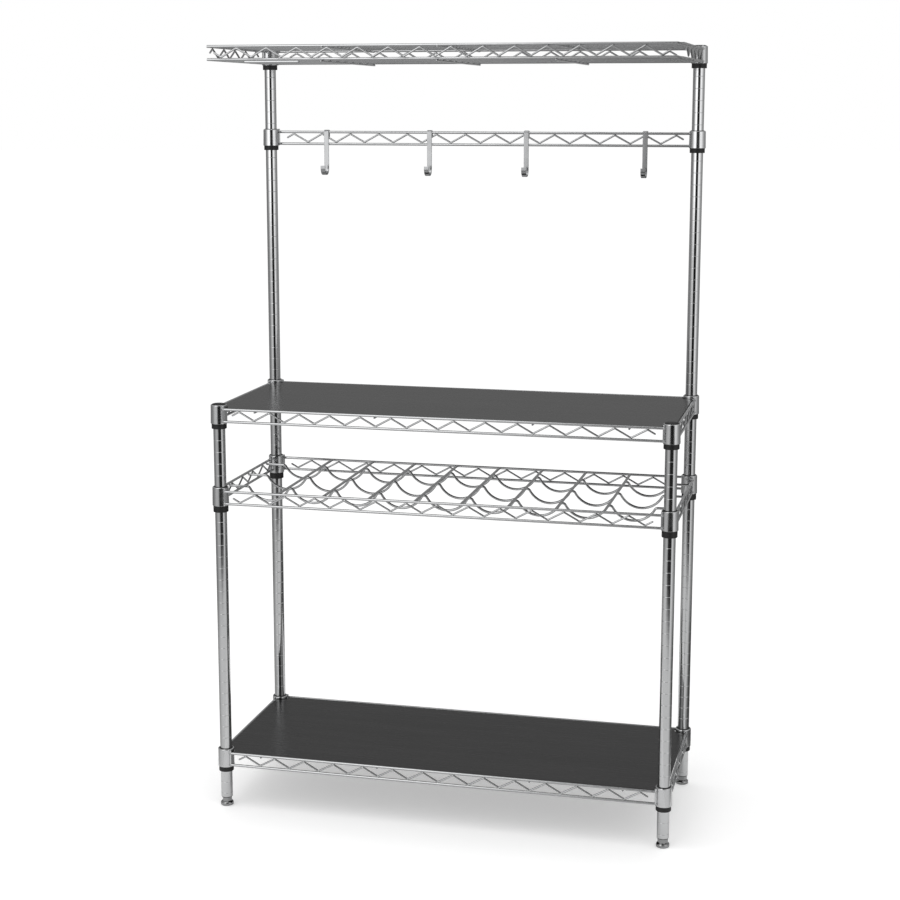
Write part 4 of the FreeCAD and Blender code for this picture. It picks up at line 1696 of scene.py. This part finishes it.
@dataclass(frozen=True)
class Surround:
    """Soft boxes and dark flags round the studio, which only bright metal mirrors.

    Each table gives tones by direction, in degrees from the front and positive to the
    right; a tone of 1 is white. Limits give the heights, or the distances from the middle,
    between which one table takes over from another.
    """

    turn: float
    steps: int = 72
    lift: float = 3.0 * MM
    near: float = 0.75
    far: float = 5.0
    top: float = 3.6
    eye: float = 0.5
    brightest: float = 2.0
    floor_limits: tuple[float, float] = (0.02, 0.30)
    high_wall_limits: tuple[float, float] = (0.7, 1.2)
    canopy_limits: tuple[float, float] = (2.0, 2.8)
    near_limits: tuple[float, float] = (1.5, 2.4)
    near_tones: Tones = (
        (-180, 0.45), (-130, 0.38), (-100, 0.42), (-75, 0.66), (-50, 0.74), (55, 0.72), (75, 0.28), (88, 0.08),
        (150, 0.08), (180, 0.45))
    floor_tones: Tones = (
        (-180, 0.32), (-152, 0.32), (-138, 0.20), (-117, 0.22), (-87, 0.31), (-65, 0.53), (-49, 0.57),
        (-28, 0.45), (-21, 0.20), (-16, 0.02), (33, 0.02), (41, 0.60), (48, 0.95), (60, 0.72), (84, 0.36),
        (110, 0.24), (138, 0.15), (152, 0.32), (180, 0.32))
    low_wall_tones: Tones = (
        (-180, 0.42), (-152, 0.42), (-138, 0.25), (-95, 0.27), (-75, 0.35), (-61, 0.66), (-38, 0.80),
        (-26, 0.78), (-20, 0.40), (-15, 0.01), (21, 0.01), (27, 0.45), (35, 0.95), (42, 1.25), (60, 0.80),
        (85, 0.38), (113, 0.28), (138, 0.25), (152, 0.42), (180, 0.42))
    high_wall_tones: Tones = (
        (-180, 0.28), (-125, 0.25), (-100, 0.25), (-86, 0.40), (-73, 0.62), (-58, 1.25), (-40, 1.90),
        (-26, 1.90), (-18, 0.70), (-12, 0.01), (18, 0.01), (26, 0.45), (34, 1.20), (43, 1.50), (62, 1.08),
        (75, 0.75), (88, 0.48), (117, 0.32), (180, 0.28))
    canopy_tones: Tones = (
        (-180, 0.40), (-110, 0.45), (-64, 0.55), (-46, 1.60), (-34, 1.80), (-28, 0.90), (-21, 0.20), (20, 0.20),
        (45, 0.80), (70, 0.55), (120, 0.40), (180, 0.40))

    def make(self) -> None:
        """Build the ring that the metal mirrors."""
        draft = MeshDraft()
        outline = [(self.near, self.lift), (self.far, self.lift), (self.far, self.top), (self.eye, self.top)]
        count = len(outline)
        for step in range(self.steps):
            angle = TAU * step / self.steps
            for radius, height in outline:
                draft.points.append(Vector((radius * math.cos(angle), radius * math.sin(angle), height)))
            here = count * step
            there = count * ((step + 1) % self.steps)
            for span in range(count - 1):
                draft.faces.append((here + span, here + span + 1, there + span + 1, there + span))
        ring = draft.build("studio_surround", SHARP)
        ring.rotation_euler = (0, 0, math.radians(self.turn))
        ring.data.materials.append(self.material())
        ring.visible_camera = False
        ring.visible_diffuse = False
        ring.visible_shadow = False
        ring.visible_transmission = False

    def material(self) -> bpy.types.Material:
        """Build the ring's glow by direction, height and distance.

        Returns:
            The material.
        """
        material, nodes, shader = start_material("studio_surround")
        place = nodes.add("ShaderNodeTexCoord").outputs["Object"]
        axes = nodes.add("ShaderNodeSeparateXYZ")
        nodes.join(axes, Vector=place)
        angle = nodes.math("ARCTAN2", axes.outputs["X"], nodes.math("MULTIPLY", axes.outputs["Y"], -1.0))
        share = nodes.math("ADD", nodes.math("DIVIDE", angle, TAU), 0.5)
        reach = nodes.add("ShaderNodeVectorMath", operation="LENGTH")
        nodes.tree.links.new(place, reach.inputs[0])
        height = axes.outputs["Z"]
        tables = (self.low_wall_tones, self.high_wall_tones, self.canopy_tones, self.floor_tones,
                  self.near_tones)
        low_wall, high_wall, canopy, floor, near = [self.ramp(nodes, share, tones) for tones in tables]
        tone = self.blend(nodes, low_wall, high_wall, height, self.high_wall_limits)
        tone = self.blend(nodes, tone, canopy, height, self.canopy_limits)
        tone = self.blend(nodes, floor, tone, height, self.floor_limits)
        tone = self.blend(nodes, near, tone, reach.outputs["Value"], self.near_limits)
        shader.inputs["Base Color"].default_value = (0.0, 0.0, 0.0, 1.0)
        shader.inputs["Specular IOR Level"].default_value = 0.0
        shader.inputs["Emission Color"].default_value = (1.0, 1.0, 1.0, 1.0)
        nodes.join(shader, Emission_Strength=nodes.math("MULTIPLY", tone, self.brightest))
        return material

    def ramp(self, nodes: NodeTree, share: Socket, stops: Tones) -> Socket:
        """Add a ramp of tones by direction.

        Args:
            nodes: Helper of the tree.
            share: Socket with the direction as a share of a turn.
            stops: Tones by direction.

        Returns:
            The socket with the tone.
        """
        node = nodes.add("ShaderNodeValToRGB")
        nodes.join(node, Fac=share)
        elements = node.color_ramp.elements
        while len(elements) < len(stops):
            elements.new(0.5)
        for element, (angle, tone) in zip(elements, stops):
            element.position = angle / 360 + 0.5
            element.color = (*(tone / self.brightest,) * 3, 1.0)
        return node.outputs["Color"]

    @staticmethod
    def blend(nodes: NodeTree, first: Socket, second: Socket, value: Socket,
              limits: tuple[float, float]) -> Socket:
        """Go over from one tone to another.

        Args:
            nodes: Helper of the tree.
            first: Tone below the limits.
            second: Tone above the limits.
            value: Height or distance that is held against them.
            limits: Where the change starts and ends.

        Returns:
            The socket with the tone.
        """
        share = nodes.ranged(value, *limits, "SMOOTHSTEP")
        rest = nodes.math("SUBTRACT", 1.0, share)
        return nodes.math("ADD", nodes.math("MULTIPLY", second, share), nodes.math("MULTIPLY", rest, first))


def main() -> None:
    """Build the rack's looks and the studio."""
    logging.basicConfig(level=logging.INFO, format="%(name)s %(message)s")
    bpy.context.scene.view_settings.view_transform = "Standard"
    shop = Workshop(Groups())
    Studio().make()
    Posts().make(shop)
    BoardShelf("bottom_shelf", -430.0 * MM, -132.0 * MM, True, CornerGrip()).make(shop)
    WineRack("wine_rack", -431.4 * MM, -120.0 * MM, False, CornerGrip(clip_drop=46.0 * MM)).make(shop)
    BoardShelf("counter", -430.0 * MM, -132.0 * MM, True, CornerGrip()).make(shop)
    Board(Body.BOTTOM_BOARD).make(shop)
    Board(Body.COUNTER_BOARD).make(shop)
    TopShelf().make(shop)
    HookRail().make(shop)


if __name__ == "__main__":
    main()
